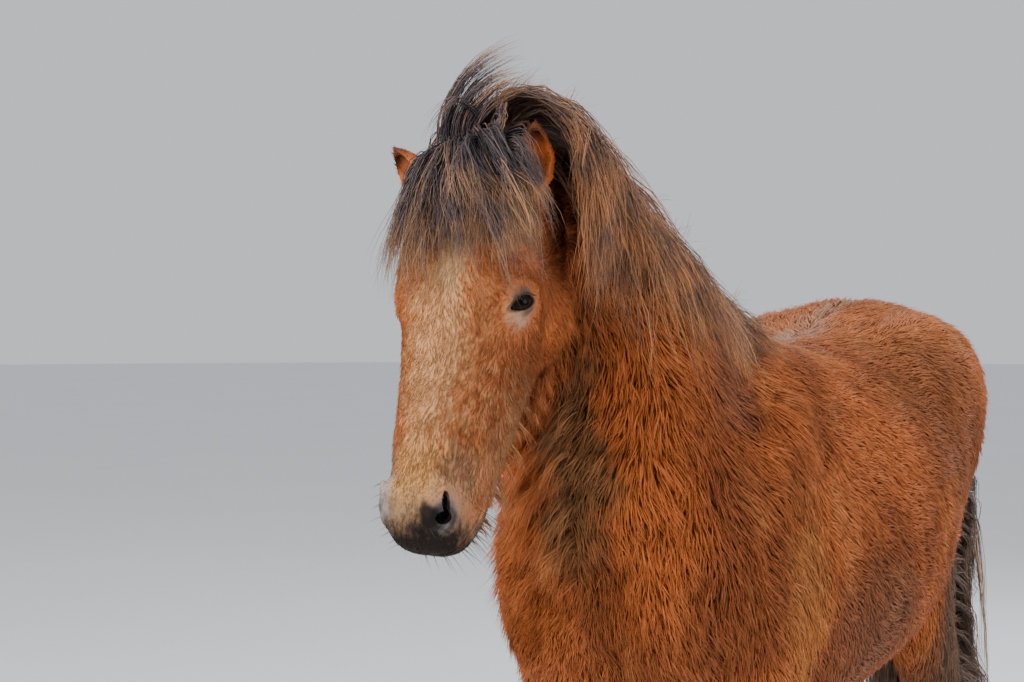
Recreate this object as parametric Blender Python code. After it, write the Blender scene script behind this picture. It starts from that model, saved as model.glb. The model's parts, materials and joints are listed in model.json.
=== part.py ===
"""A life-size Icelandic horse in its winter coat, standing, as a still model of separate closed solids.

Metres, +Z up. The horse stands on the floor z = 0 and looks along -Y; +X is its left side. The solids are the
outside of the coat, with the mane, forelock, tail and the feathers at the fetlocks as flat, tapered locks.
"""

import math
import random

import bmesh
import bpy
import numpy as np
from mathutils import Matrix, Vector
from mathutils.bvhtree import BVHTree
from mathutils.kdtree import KDTree

# Driving dimensions, coat included
WITHERS = 1.38
LENGTH = 1.44
BARREL = 0.60
HEAD = 0.57
EAR = 0.112
EYE = 0.0215
MANE = 0.30
FORELOCK = 0.20
TAIL_END = 0.16

# Where the head is held: its poll, then the turn to the left, the slope of the face and the tilt
POLL = Vector((-0.085, -0.921, 1.576))
HEAD_YAW = math.radians(-6.5)
HEAD_PITCH = math.radians(72.4)
HEAD_ROLL = math.radians(-2)

GAP = 0.0003
MEETING = 0.00001
PARTING = 0.0002
RING_SIDES = 28
VOXEL = 0.0055
SEED = 12
TAIL_SEED = 6

# Side-view sections of the trunk: place along the body from its middle in LENGTH, top and bottom height in WITHERS,
# half width in BARREL, how far down the widest place lies
TRUNK = {
    "breast": (-0.497, 0.770, 0.640, 0.17, 0.0),
    "shoulder_point": (-0.452, 0.900, 0.545, 0.33, 0.1),
    "shoulder": (-0.360, 0.930, 0.490, 0.395, 0.15),
    "withers": (-0.235, 0.966, 0.472, 0.425, 0.20),
    "girth": (-0.130, 0.953, 0.468, 0.465, 0.16),
    "back": (-0.020, 0.940, 0.470, 0.495, 0.10),
    "belly": (0.090, 0.948, 0.480, 0.500, 0.06),
    "loin": (0.180, 0.970, 0.510, 0.475, 0.0),
    "hip": (0.255, 0.991, 0.560, 0.450, -0.1),
    "croup": (0.335, 0.994, 0.610, 0.430, -0.1),
    "thurl": (0.415, 0.934, 0.660, 0.370, 0.0),
    "tail_head": (0.470, 0.860, 0.710, 0.280, 0.0),
    "seat": (0.497, 0.800, 0.760, 0.120, 0.0),
}

# Neck sections: crest (y, z), underline (y, z), half width
NECK = (
    (-0.20, 1.265, -0.400, 0.800, 0.165),
    (-0.32, 1.325, -0.620, 0.860, 0.172),
    (-0.43, 1.380, -0.720, 0.985, 0.172),
    (-0.54, 1.438, -0.744, 1.100, 0.160),
    (-0.65, 1.498, -0.734, 1.212, 0.130),
    (-0.75, 1.548, -0.722, 1.305, 0.105),
    (-0.84, 1.585, -0.735, 1.375, 0.088),
    (-0.91, 1.586, -0.790, 1.405, 0.076),
)

# Leg sections: height, front (y), back (y), middle (x), half width
FORELEG = {
    "shoulder": (1.08, -0.66, -0.30, 0.150, 0.070),
    "arm": (0.93, -0.635, -0.315, 0.158, 0.085),
    "elbow": (0.80, -0.590, -0.355, 0.156, 0.084),
    "forearm": (0.68, -0.567, -0.403, 0.150, 0.068),
    "low_forearm": (0.54, -0.548, -0.427, 0.146, 0.055),
    "above_knee": (0.46, -0.546, -0.434, 0.143, 0.052),
    "knee": (0.41, -0.549, -0.433, 0.142, 0.056),
    "below_knee": (0.35, -0.534, -0.438, 0.141, 0.046),
    "cannon": (0.27, -0.526, -0.436, 0.140, 0.040),
    "low_cannon": (0.20, -0.530, -0.430, 0.140, 0.044),
    "fetlock": (0.155, -0.542, -0.424, 0.140, 0.049),
    "pastern": (0.105, -0.566, -0.466, 0.140, 0.044),
    "coronet": (0.060, -0.594, -0.472, 0.140, 0.053),
    "in_hoof": (0.020, -0.584, -0.480, 0.140, 0.044),
}
HINDLEG = {
    "hip": (1.17, 0.32, 0.640, 0.120, 0.075),
    "thigh": (1.05, 0.24, 0.678, 0.128, 0.102),
    "low_thigh": (0.92, 0.235, 0.650, 0.122, 0.078),
    "stifle": (0.82, 0.268, 0.612, 0.126, 0.070),
    "gaskin": (0.72, 0.342, 0.600, 0.130, 0.062),
    "low_gaskin": (0.62, 0.432, 0.626, 0.134, 0.055),
    "above_hock": (0.545, 0.502, 0.665, 0.140, 0.049),
    "hock": (0.48, 0.527, 0.667, 0.142, 0.053),
    "below_hock": (0.41, 0.545, 0.651, 0.143, 0.047),
    "cannon": (0.31, 0.549, 0.641, 0.145, 0.041),
    "low_cannon": (0.20, 0.545, 0.643, 0.145, 0.045),
    "fetlock": (0.155, 0.533, 0.648, 0.145, 0.050),
    "pastern": (0.105, 0.509, 0.605, 0.145, 0.045),
    "coronet": (0.060, 0.483, 0.603, 0.145, 0.054),
    "in_hoof": (0.020, 0.497, 0.593, 0.145, 0.044),
}

# Head sections in HEAD: along from the poll, front line, underside, half width, widest place
SKULL = {
    "nape": (-0.060, -0.060, -0.200, 0.100, 0.0),
    "poll": (0.010, -0.005, -0.340, 0.145, 0.0),
    "forehead": (0.130, 0.030, -0.415, 0.173, -0.25),
    "brow": (0.260, 0.036, -0.440, 0.183, -0.35),
    "eyes": (0.350, 0.024, -0.430, 0.180, -0.35),
    "cheek": (0.470, 0.004, -0.398, 0.154, -0.25),
    "nose_bone": (0.600, -0.012, -0.343, 0.142, -0.15),
    "bars": (0.720, -0.020, -0.302, 0.134, -0.05),
    "nostrils": (0.830, -0.026, -0.276, 0.118, 0.05),
    "lips": (0.910, -0.042, -0.250, 0.104, 0.05),
    "lip_front": (0.955, -0.070, -0.218, 0.082, 0.0),
    "lip_end": (0.973, -0.100, -0.180, 0.045, 0.0),
}

# Places on the head in HEAD, for the left side: along, out, to the side
EYE_AT = (0.354, -0.104, 0.158)
NOSTRIL_AT = (0.868, -0.068, 0.088)
EAR_AT = (0.105, -0.080, 0.172)
# The way each ear points, the left at 1: back along the face, out of the forehead, to its own side
EAR_TILT = {1: (-1.0, 0.42, 0.04), -1: (-1.0, 0.08, 0.76)}

# How wide a lock is along its length, and the share of triangles that fused locks keep
TAPER = (0.70, 1.0, 0.95, 0.80, 0.55)
LOCKS_KEPT = 0.60

# The lids' half opening seen from the eye's middle, their thickness, the nostril's half sizes and the mouth's line in HEAD
LID_LONG = math.radians(62)
LID_HIGH = math.radians(36)
LID_STEPS = 16
LID = 0.0036
NOSTRIL = (0.020, 0.012)
MOUTH = (
    (0.795, -0.222, 0.092),
    (0.850, -0.204, 0.096),
    (0.900, -0.184, 0.088),
    (0.942, -0.170, 0.064),
    (0.968, -0.163, 0.030),
    (0.976, -0.161, 0.0),
)
MOUTH_GAP = 0.0022

# An ear in EAR: how its base is drawn back and in, then sections up from the base with half width and half depth;
# those of the cup also say how far it lies ahead of the ear's middle
EAR_TUCK = (0.02, 0.09)
EAR_CUP = (
    (0.10, 0.06, 0.08, 0.20),
    (0.30, 0.18, 0.18, 0.15),
    (0.56, 0.20, 0.15, 0.115),
    (0.78, 0.13, 0.10, 0.08),
    (0.90, 0.05, 0.05, 0.05),
)
EAR_SHAPE = (
    (-0.25, 0.19, 0.20),
    (0.05, 0.24, 0.25),
    (0.32, 0.28, 0.23),
    (0.58, 0.25, 0.18),
    (0.80, 0.17, 0.12),
    (0.93, 0.09, 0.07),
    (1.00, 0.03, 0.03),
)

# A hoof's sections: height, half width, how far it reaches forward and back of its middle
HOOF = ((0.0, 0.058, 0.066, 0.048), (0.030, 0.055, 0.060, 0.048), (0.0597, 0.050, 0.054, 0.048))
CORONET = 0.06
FETLOCK_BACK = 0.045

# The tail's core: middle (x, y, z), half width, half depth
TAIL_CORE = (
    (0, 0.640, 1.215, 0.045, 0.036),
    (0, 0.695, 1.190, 0.046, 0.040),
    (0.014, 0.724, 1.120, 0.040, 0.038),
    (0.050, 0.732, 1.010, 0.038, 0.038),
    (0.088, 0.730, 0.880, 0.034, 0.036),
    (0.104, 0.722, 0.740, 0.026, 0.028),
)
TUFT_WIND = (0.95, 0.50, -0.10)
TAIL_BLOWN = 0.62

# Where the body is parted, each plane a point and the normal that points out of the named part
FAR = 3.0
HEAD_CUT = (((-0.05, -0.06, 0), (-0.658, -0.752, 0)), ((0.19, -0.275, 0), (0, -1, 0)))
NECK_CUT = ((0, -0.30, 1.38), (0, 0.78, -0.62))
FORELEG_CUT = (
    ((0.15, -0.47, 0.80), (-0.55, 0.12, 1)),
    ((0, -0.335, 0.70), (0, 1, 0.12)),
    ((0, -0.80, 0.70), (0, -1, 0)),
    ((0.045, 0, 0), (-1, 0, 0)),
)
HINDLEG_CUT = (
    ((0.17, 0.45, 1.00), (-0.45, 0, 1)),
    ((0, 0.205, 0.80), (0, -1, 0.30)),
    ((0.030, 0, 0), (-1, 0, 0)),
)
STRIDE_FORE = 0.03
STRIDE_HIND = -0.04
LEG_CUTS = (
    ("foreleg", FORELEG_CUT, ((0, -0.47, 0.43), (0, 0, 1)), -0.535, STRIDE_FORE),
    ("hindleg", HINDLEG_CUT, ((0, 0.60, 0.50), (0, -0.3, 1)), 0.540, STRIDE_HIND),
)
SIDES = ((1, "left"), (-1, "right"))

COLOURS = {
    "eye": ((0.012, 0.010, 0.012), 0.08),
    "hoof": ((0.060, 0.045, 0.035), 0.55),
    "tail": ((0.085, 0.060, 0.045), 0.85),
    "head": ((0.430, 0.240, 0.130), 0.80),
    "ear": ((0.380, 0.170, 0.070), 0.85),
    "": ((0.340, 0.125, 0.040), 0.85),
}


def smooth_rows(rows, per_gap=3):
    """Rows of numbers with more rows between them, on a curve through them."""
    rows = np.array([tuple(row) for row in rows], float)
    padded = np.vstack([2 * rows[0] - rows[1], rows, 2 * rows[-1] - rows[-2]])
    found = []
    for k in range(len(rows) - 1):
        a, b, c, d = padded[k : k + 4]
        for t in np.arange(per_gap) / per_gap:
            found.append(
                b + 0.5 * t * (c - a + t * (2 * a - 5 * b + 4 * c - d + t * (3 * b - a - 3 * c + d)))
            )
    return np.array(found + [rows[-1]])


def oval(upper, lower, half_width, side, widest=0.0, power=0.92):
    """A ring between two points of an outline. Its widest place lies a share `widest` towards the lower one."""
    upper, lower = Vector(upper), Vector(lower)
    centre = (upper + lower) / 2
    reach = (upper - lower) / 2
    points = []
    for k in range(RING_SIDES):
        angle = 2 * math.pi * k / RING_SIDES
        c, s = math.cos(angle), math.sin(angle)
        across = math.copysign(abs(s) ** power, s) * half_width
        points.append(centre + reach * (c - widest * s * s) + side * across)
    return points


def loft(bm, rings):
    """A closed skin over the rings."""
    loops = []
    for points in rings:
        verts = [bm.verts.new(p) for p in points]
        loops.append((verts, [bm.edges.new((verts[k - 1], v)) for k, v in enumerate(verts)]))
    for (_, first), (_, second) in zip(loops, loops[1:]):
        bmesh.ops.bridge_loops(bm, edges=first + second)
    for verts in (loops[0][0], loops[-1][0]):
        bm.faces.new(verts)


def ball(bm, centre, radii, turn=None, fine=3):
    """An ellipsoid, its radii along X, Y and Z before the turn."""
    place = Matrix.Translation(Vector(centre)) @ (turn or Matrix()) @ Matrix.Diagonal((*radii, 1))
    bmesh.ops.create_icosphere(bm, subdivisions=fine, radius=1, matrix=place)


def lean(pitch=0.0, yaw=0.0, roll=0.0):
    """A turn in degrees: pitch about X, then roll about Y, then yaw about Z."""
    turns = ((yaw, "Z"), (roll, "Y"), (pitch, "X"))
    whole = Matrix()
    for angle, axis in turns:
        whole = whole @ Matrix.Rotation(math.radians(angle), 4, axis)
    return whole


def trunk(bm):
    rings = []
    for along, top, bottom, half, widest in smooth_rows(TRUNK.values()):
        y = along * LENGTH
        ring = oval((0, y, top * WITHERS), (0, y, bottom * WITHERS), half * BARREL, Vector((1, 0, 0)), widest)
        rings.append(ring)
    loft(bm, rings)


def neck_rows():
    """The neck's sections with the bend to the right that brings it to the poll."""
    rows = smooth_rows(NECK)
    shift = np.linspace(0, 1, len(rows)) ** 1.8 * POLL.x
    return [(Vector((x, cy, cz)), Vector((x, uy, uz)), half) for (cy, cz, uy, uz, half), x in zip(rows, shift)]


def neck(bm):
    loft(bm, [oval(crest, under, half, Vector((1, 0, 0)), 0.25, 0.9) for crest, under, half in neck_rows()])


def leg(bm, sections, side, stride):
    """One leg, `side` 1 on the left and -1 on the right, its foot `stride` forward of square."""
    rows = smooth_rows(sections.values())
    top = rows[0][0]
    rings = []
    for z, front, back, x, half in rows:
        swing = stride * (1 - z / top)
        middle = side * x
        rings.append(oval((middle, front - swing, z), (middle, back - swing, z), half, Vector((side, 0, 0))))
    loft(bm, rings)


def muscles(bm):
    """The masses that stand out under the coat, on both sides."""
    for side in (1, -1):
        ball(bm, (side * 0.132, 0.380, 1.165), (0.145, 0.275, 0.185), lean(pitch=6))
        ball(bm, (side * 0.118, 0.520, 1.05), (0.102, 0.145, 0.190), lean(pitch=-14))
        ball(bm, (side * 0.140, -0.44, 0.99), (0.092, 0.17, 0.26), lean(pitch=-28, roll=side * 6))
        ball(bm, (side * 0.165, -0.39, 0.90), (0.088, 0.165, 0.155), lean(pitch=-20))
        ball(bm, (side * 0.090, -0.615, 0.925), (0.100, 0.105, 0.160), lean(pitch=-10))


def head_frame():
    """The head's own frame at the poll: X along the face to the nose, Y out of the forehead, Z to the left."""
    ahead = Vector((math.sin(HEAD_YAW), -math.cos(HEAD_YAW), 0))
    left = Vector((math.cos(HEAD_YAW), math.sin(HEAD_YAW), 0))
    up = Vector((0, 0, 1))
    along = ahead * math.cos(HEAD_PITCH) - up * math.sin(HEAD_PITCH)
    out = ahead * math.sin(HEAD_PITCH) + up * math.cos(HEAD_PITCH)
    tilted_left = left * math.cos(HEAD_ROLL) + out * math.sin(HEAD_ROLL)
    tilted_out = out * math.cos(HEAD_ROLL) - left * math.sin(HEAD_ROLL)
    frame = Matrix((along, tilted_out, tilted_left)).transposed().to_4x4()
    frame.translation = POLL
    return frame


def on_head(place, side=1):
    """A place on the head, from its share of HEAD, in the head's own frame."""
    along, out, across = place
    return Vector((along, out, side * across)) * HEAD


def skull(bm):
    rings = []
    rows = smooth_rows(SKULL.values())
    for along, front, under, half, widest in rows:
        upper, lower = (along * HEAD, front * HEAD, 0), (along * HEAD, under * HEAD, 0)
        rings.append(oval(upper, lower, half * HEAD, Vector((0, 0, 1)), widest, 0.86))
    loft(bm, rings)
    for side in (1, -1):
        ball(bm, (0.196, -0.048, side * 0.070), (0.052, 0.040, 0.042))
        ball(bm, (0.180, -0.150, side * 0.050), (0.095, 0.095, 0.044))
        ball(bm, (0.290, -0.080, side * 0.044), (0.105, 0.022, 0.026))
        ball(bm, (0.492, -0.050, side * 0.036), (0.044, 0.038, 0.027))
        ball(bm, (0.030, -0.040, side * 0.060), (0.055, 0.045, 0.034))
    ball(bm, (0.300, -0.024, 0), (0.150, 0.022, 0.036))
    ball(bm, (0.522, -0.066, 0), (0.037, 0.044, 0.053))
    ball(bm, (0.506, -0.118, 0), (0.040, 0.024, 0.040))


def shaded(obj, colour, roughness=0.8):
    """A plain finish of the part's colour."""
    material = bpy.data.materials.new(obj.name)
    material.use_nodes = True
    shader = material.node_tree.nodes["Principled BSDF"]
    shader.inputs["Base Color"].default_value = (*colour, 1)
    shader.inputs["Roughness"].default_value = roughness
    shader.inputs["Metallic"].default_value = 0.0
    obj.data.materials.clear()
    obj.data.materials.append(material)
    obj.data.shade_smooth()
    return obj


def placed(name, bm):
    """A mesh object of what the bmesh holds."""
    bmesh.ops.recalc_face_normals(bm, faces=bm.faces)
    mesh = bpy.data.meshes.new(name)
    bm.to_mesh(mesh)
    bm.free()
    obj = bpy.data.objects.new(name, mesh)
    bpy.context.scene.collection.objects.link(obj)
    return obj


def copied(obj, name):
    twin = bpy.data.objects.new(name, obj.data.copy())
    bpy.context.scene.collection.objects.link(twin)
    return twin


def applied(obj):
    """The object with its modifiers turned into its mesh."""
    graph = bpy.context.evaluated_depsgraph_get()
    mesh = bpy.data.meshes.new_from_object(obj.evaluated_get(graph))
    obj.modifiers.clear()
    old = obj.data
    obj.data = mesh
    bpy.data.meshes.remove(old)
    return obj


def removed(*objects):
    for obj in objects:
        mesh = obj.data
        bpy.data.objects.remove(obj)
        bpy.data.meshes.remove(mesh)


def largest(obj):
    """Keeps only the largest closed surface, which also fills a hollow that fusing seals."""
    bm = bmesh.new()
    bm.from_mesh(obj.data)
    bmesh.ops.triangulate(bm, faces=bm.faces)
    left = set(bm.faces)
    shells = []
    while left:
        start = left.pop()
        shell, edge_of = {start}, [start]
        while edge_of:
            for edge in edge_of.pop().edges:
                for face in edge.link_faces:
                    if face in left:
                        left.remove(face)
                        shell.add(face)
                        edge_of.append(face)
        volume = sum(f.verts[0].co.dot(f.verts[1].co.cross(f.verts[2].co)) for f in shell) / 6
        shells.append((volume, shell))
    best = max(shells, key=lambda item: item[0])[1]
    bmesh.ops.delete(bm, geom=[f for f in bm.faces if f not in best], context="FACES")
    bm.to_mesh(obj.data)
    bm.free()
    return obj


def parted(obj):
    """Takes out edges of almost no length, and draws corners apart where two of them meet in one place."""
    bm = bmesh.new()
    bm.from_mesh(obj.data)
    bmesh.ops.dissolve_degenerate(bm, dist=MEETING, edges=bm.edges)
    bmesh.ops.triangulate(bm, faces=bm.faces)
    bm.verts.index_update()
    bm.normal_update()
    verts = list(bm.verts)
    tree = KDTree(len(verts))
    for v in verts:
        tree.insert(v.co, v.index)
    tree.balance()
    meeting = [v for v in verts if len(tree.find_range(v.co, MEETING)) > 1]
    for v in meeting:
        v.co -= v.normal * PARTING
    bm.to_mesh(obj.data)
    bm.free()
    return largest(obj)


def boolean(obj, others, operation):
    """One Boolean with a collection of closed objects, which are then removed."""
    group = bpy.data.collections.new("cutters")
    for other in others:
        group.objects.link(other)
    step = obj.modifiers.new(operation.lower(), "BOOLEAN")
    step.operand_type = "COLLECTION"
    step.collection = group
    step.operation = operation
    step.solver = "MANIFOLD"
    applied(obj)
    bpy.data.collections.remove(group)
    removed(*others)
    return largest(obj)


def swollen(obj, by=GAP):
    """A copy that is larger by that much all round, to cut its neighbours with."""
    twin = copied(obj, obj.name + "_swollen")
    swell = twin.modifiers.new("swell", "DISPLACE")
    swell.strength = by
    swell.mid_level = 0
    return applied(twin)


def half_space(point, normal, grow=0.0):
    """All that lies behind a plane, as a large block, `grow` larger across the plane."""
    normal = Vector(normal).normalized()
    bm = bmesh.new()
    bmesh.ops.create_cube(bm, size=2 * FAR, matrix=Matrix.Translation((0, 0, -FAR)))
    turn = normal.to_track_quat("Z", "Y").to_matrix().to_4x4()
    bmesh.ops.transform(bm, verts=bm.verts, matrix=Matrix.Translation(Vector(point) + normal * grow) @ turn)
    return placed("half_space", bm)


def region(planes, grow=0.0):
    """The convex block behind all of the planes, each a point and an outward normal."""
    whole = half_space(*planes[0], grow)
    others = [half_space(*plane, grow) for plane in planes[1:]]
    return boolean(whole, others, "INTERSECT") if others else whole


def mirrored(planes, side):
    """The planes as they are on the left, or their mirror image on the right."""
    return [((side * p[0], *p[1:]), (side * n[0], *n[1:])) for p, n in planes]


def behind_head(point):
    """0 on the head and 1 on the body, with a short change where the throat is."""
    along, out, _ = head_frame().inverted() @ point
    return min(1.0, max(0.0, (-0.10 - out - 0.45 * along) / 0.08))


def fused(obj, head_rounds, body_rounds, head_triangles, body_triangles):
    """The overlapping forms of obj as one closed skin, smoothed and thinned less on the head than on the body."""
    remesh = obj.modifiers.new("remesh", "REMESH")
    remesh.mode = "VOXEL"
    remesh.voxel_size = VOXEL
    applied(obj)
    body = obj.vertex_groups.new(name="body")
    thick = obj.vertex_groups.new(name="thick")
    for v in obj.data.vertices:
        share = behind_head(v.co)
        if share > 0:
            body.add([v.index], round(share), "REPLACE")
            thick.add([v.index], share * min(1.0, max(0.22, (v.co.z - 0.62) / 0.25)), "REPLACE")
    for name, rounds in (("", head_rounds), ("thick", body_rounds)):
        step = obj.modifiers.new("smooth", "SMOOTH")
        step.factor = 0.5
        step.iterations = rounds
        step.vertex_group = name
    applied(obj)
    for on_body, triangles in ((True, body_triangles), (False, head_triangles)):
        ours = theirs = 0
        for face in obj.data.polygons:
            if (behind_head(face.center) > 0.5) == on_body:
                ours += face.loop_total - 2
            else:
                theirs += face.loop_total - 2
        thin = obj.modifiers.new("thin", "DECIMATE")
        thin.ratio = min(1.0, (theirs + triangles) / (theirs + ours))
        thin.vertex_group = "body"
        thin.invert_vertex_group = not on_body
        applied(obj)
    return obj


def swept(bm, points, across, flat, widths, thickness):
    """A closed blade along the points, pointed at its end. `across` and `flat` are a direction at each point."""
    rings = []
    for point, side, out, width in zip(points[:-1], across, flat, widths):
        half = side * width / 2
        thick = out * min(thickness, width)
        rings.append([bm.verts.new(point + d) for d in (half, thick, -half)])
    for first, second in zip(rings, rings[1:]):
        for k in range(3):
            bm.faces.new((first[k - 1], first[k], second[k], second[k - 1]))
    bm.faces.new(rings[0])
    tip = bm.verts.new(points[-1])
    for k in range(3):
        bm.faces.new((rings[-1][k - 1], rings[-1][k], tip))


def ring_tube(bm, points, radius, sides=6):
    """A closed tube round a closed path."""
    loops = []
    count = len(points)
    middle = sum(points, Vector()) / count
    for k, point in enumerate(points):
        along = (points[(k + 1) % count] - points[k - 1]).normalized()
        out = (point - middle).normalized()
        up = along.cross(out).normalized()
        out = up.cross(along)
        turn = [2 * math.pi * j / sides for j in range(sides)]
        loops.append([bm.verts.new(point + (out * math.cos(t) + up * math.sin(t)) * radius) for t in turn])
    for k, second in enumerate(loops):
        first = loops[k - 1]
        for j in range(sides):
            bm.faces.new((first[j - 1], first[j], second[j], second[j - 1]))


def eye_axes(side):
    """The eye's outward look, and the line from its outer to its inner corner, in the head's frame."""
    look = Vector((0.02, 0.56, 0.83 * side)).normalized()
    slit = Vector((0.64, 0.61, -0.46 * side))
    slit = (slit - look * slit.dot(look)).normalized()
    return look, slit


def eyeball(side, grow=0.0):
    bm = bmesh.new()
    ball(bm, on_head(EYE_AT, side), [EYE + grow] * 3, fine=2)
    bmesh.ops.transform(bm, verts=bm.verts, matrix=head_frame())
    return placed("eyeball", bm)


def eye_edge(side, wide=1.0):
    """Directions from the eye's middle to the edge of its opening, an almond that is pointed at the inner corner."""
    look, slit = eye_axes(side)
    rise = look.cross(slit)
    found = []
    for k in range(LID_STEPS):
        angle = 2 * math.pi * k / LID_STEPS
        c, s = math.cos(angle), math.sin(angle)
        high = LID_HIGH * s * (1 - 0.35 * max(0.0, c) ** 2)
        tilt = math.hypot(LID_LONG * c, high)
        spread = (slit * LID_LONG * c + rise * high) / tilt
        found.append(look * math.cos(tilt * wide) + spread * math.sin(tilt * wide))
    return found


def lids(side):
    """The thick edge round the eye."""
    points = [on_head(EYE_AT, side) + way * (EYE + 0.0015) for way in eye_edge(side)]
    bm = bmesh.new()
    ring_tube(bm, points, LID)
    bmesh.ops.transform(bm, verts=bm.verts, matrix=head_frame())
    return placed("lids", bm)


def eye_opening(side):
    """The cone that opens the lids in front of the eye."""
    bm = bmesh.new()
    middle = on_head(EYE_AT, side)
    loft(bm, [[middle + way * EYE * far for way in eye_edge(side, 0.90)] for far in (0.5, 1.9)])
    bmesh.ops.transform(bm, verts=bm.verts, matrix=head_frame())
    return placed("eye_opening", bm)


def nostril(side, grow, depth):
    """The soft rim of a nostril, or, with grow under zero, the hollow in it."""
    out = Vector((0.30, 0.42, 0.86 * side)).normalized()
    long_way = Vector((0.90, -0.42, -0.10 * side))
    long_way = (long_way - out * long_way.dot(out)).normalized()
    turn = Matrix((long_way, out.cross(long_way), out)).transposed().to_4x4()
    radii = (NOSTRIL[0] + grow, NOSTRIL[1] + grow, depth)
    bm = bmesh.new()
    ball(bm, on_head(NOSTRIL_AT, side), radii, turn, 2)
    bmesh.ops.transform(bm, verts=bm.verts, matrix=head_frame())
    return placed("nostril", bm)


def mouth_line():
    """The blade that cuts the line of the closed mouth, from corner to corner round the lips."""
    half = [Vector(p) * HEAD for p in MOUTH]
    path = [Vector((p.x, p.y, -p.z)) for p in half[:-1]] + half[::-1]
    bm = bmesh.new()
    rings = []
    for k, point in enumerate(path):
        along = (path[min(k + 1, len(path) - 1)] - path[max(k - 1, 0)]).normalized()
        up = Vector((0, 1, 0))
        out = along.cross(up).normalized()
        if out.dot(point - Vector((0.45, point.y, 0))) < 0:
            out = -out
        thick = up * MOUTH_GAP / 2
        corners = (out * 0.012 + thick, out * 0.012 - thick, -out * 0.006 - thick, -out * 0.006 + thick)
        rings.append([point + c for c in corners])
    loft(bm, rings)
    bmesh.ops.transform(bm, verts=bm.verts, matrix=head_frame())
    return placed("mouth_line", bm)


def ear(side):
    """One ear: a pointed leaf with a deep cup that opens forward and out."""
    base = on_head(EAR_AT, side)
    rise, forward, apart = EAR_TILT[side]
    up = Vector((rise, forward, apart * side)).normalized()
    face = Vector((0.05, 0.80, 0.60 * side))
    face = (face - up * face.dot(up)).normalized()
    across = up.cross(face)
    shapes = []
    for rows in ([(*row, 0.0) for row in EAR_SHAPE], EAR_CUP):
        bm = bmesh.new()
        rings = []
        for share, half, deep, ahead in rows:
            middle = base + up * (share * EAR) - face * (0.10 * EAR * math.sin(math.pi * share))
            middle += face * (ahead * EAR)
            middle += EAR_TUCK[0] * max(0.0, 0.40 - share) * Vector((1, 0, 0))
            middle -= EAR_TUCK[1] * max(0.0, 0.40 - share) * Vector((0, 0, side))
            ring = []
            for k in range(10):
                angle = 2 * math.pi * k / 10
                ring.append(middle + (across * half * math.cos(angle) + face * deep * math.sin(angle)) * EAR)
            rings.append(ring)
        loft(bm, rings)
        bmesh.ops.transform(bm, verts=bm.verts, matrix=head_frame())
        shapes.append(placed("ear", bm))
    return boolean(shapes[0], shapes[1:], "DIFFERENCE")


def hoof(middle_x, middle_y):
    """One hoof below its coronet, its sole flat on the floor."""
    bm = bmesh.new()
    rings = []
    for height, half, front, back in HOOF:
        ring = []
        for k in range(20):
            angle = 2 * math.pi * k / 20
            c, s = math.cos(angle), math.sin(angle)
            reach = front if c > 0 else back
            y = middle_y - c * reach
            ring.append(Vector((middle_x + s * half, y, height + (0.35 * c * reach if height > 0.01 else 0))))
        rings.append(ring)
    loft(bm, rings)
    return placed("hoof", bm)


def tail_path():
    return [Vector(p) for p in smooth_rows(TAIL_CORE, 3)[:, :3]]


def tail_core():
    rows = smooth_rows(TAIL_CORE, 3)
    bm = bmesh.new()
    rings = []
    for k, (x, y, z, half, deep) in enumerate(rows):
        before, after = rows[max(k - 1, 0)], rows[min(k + 1, len(rows) - 1)]
        along = Vector(after[:3] - before[:3]).normalized()
        out = Vector((1, 0, 0)).cross(along).normalized()
        centre = Vector((x, y, z))
        ring = []
        for j in range(10):
            angle = 2 * math.pi * j / 10
            ring.append(centre + Vector((math.cos(angle) * half, 0, 0)) + out * math.sin(angle) * deep)
        rings.append(ring)
    loft(bm, rings)
    return placed("tail", bm)


class Lie:
    """The surface that locks keep clear of and lie along."""

    def __init__(self, objects):
        verts, faces = [], []
        for obj in objects:
            start = len(verts)
            verts += [v.co.copy() for v in obj.data.vertices]
            faces += [[start + i for i in p.vertices] for p in obj.data.polygons]
        self.tree = BVHTree.FromPolygons(verts, faces)

    def pushed(self, point, clear, high):
        """The point moved to no less than `clear` and no more than `high` above the surface."""
        near, normal, _, _ = self.tree.find_nearest(point)
        away = (point - near).dot(normal)
        if away < clear and (point - near).length < 0.12:
            return near + normal * clear, normal
        if high and (point - near).length > high:
            return near + (point - near).normalized() * high, normal
        return point, normal


def lock(bm, lie, root, first, pull, length, width, high=None, sunk=0.012, steps=5, bend=0.45, clear=0.005, wave=0.0):
    """A flat, tapered lock from a root under the surface: it leaves along `first` and turns to `pull`."""
    near, normal, _, _ = lie.tree.find_nearest(root)
    course = Vector(first).normalized()
    pull = Vector(pull).normalized()
    start = near - normal * sunk
    points, across, flat = [start], [], []
    at = near + normal * 0.002
    step = length / steps
    for k in range(steps):
        if k:
            course = (course * (1 - bend) + pull * bend).normalized()
        at = at + course * step
        at, normal = lie.pushed(at, clear, high)
        sway = course.cross(normal)
        if sway.length > 1e-4 and wave:
            at = at + sway.normalized() * wave * math.sin(2.4 * k)
        course = (at - points[-1]).normalized()
        points.append(at.copy())
    for k, point in enumerate(points[:-1]):
        along = (points[k + 1] - points[max(k - 1, 0)]).normalized()
        _, normal, _, _ = lie.tree.find_nearest(point)
        side = along.cross(normal)
        side = side.normalized() if side.length > 0.15 else Vector((0, 1, 0)).cross(along).normalized()
        across.append(side)
        flat.append(side.cross(along).normalized())
    widths = [width * TAPER[min(len(TAPER) - 1, round(k * len(TAPER) / steps))] for k in range(steps)]
    swept(bm, points, across, flat, widths, width * 0.42)


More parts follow.
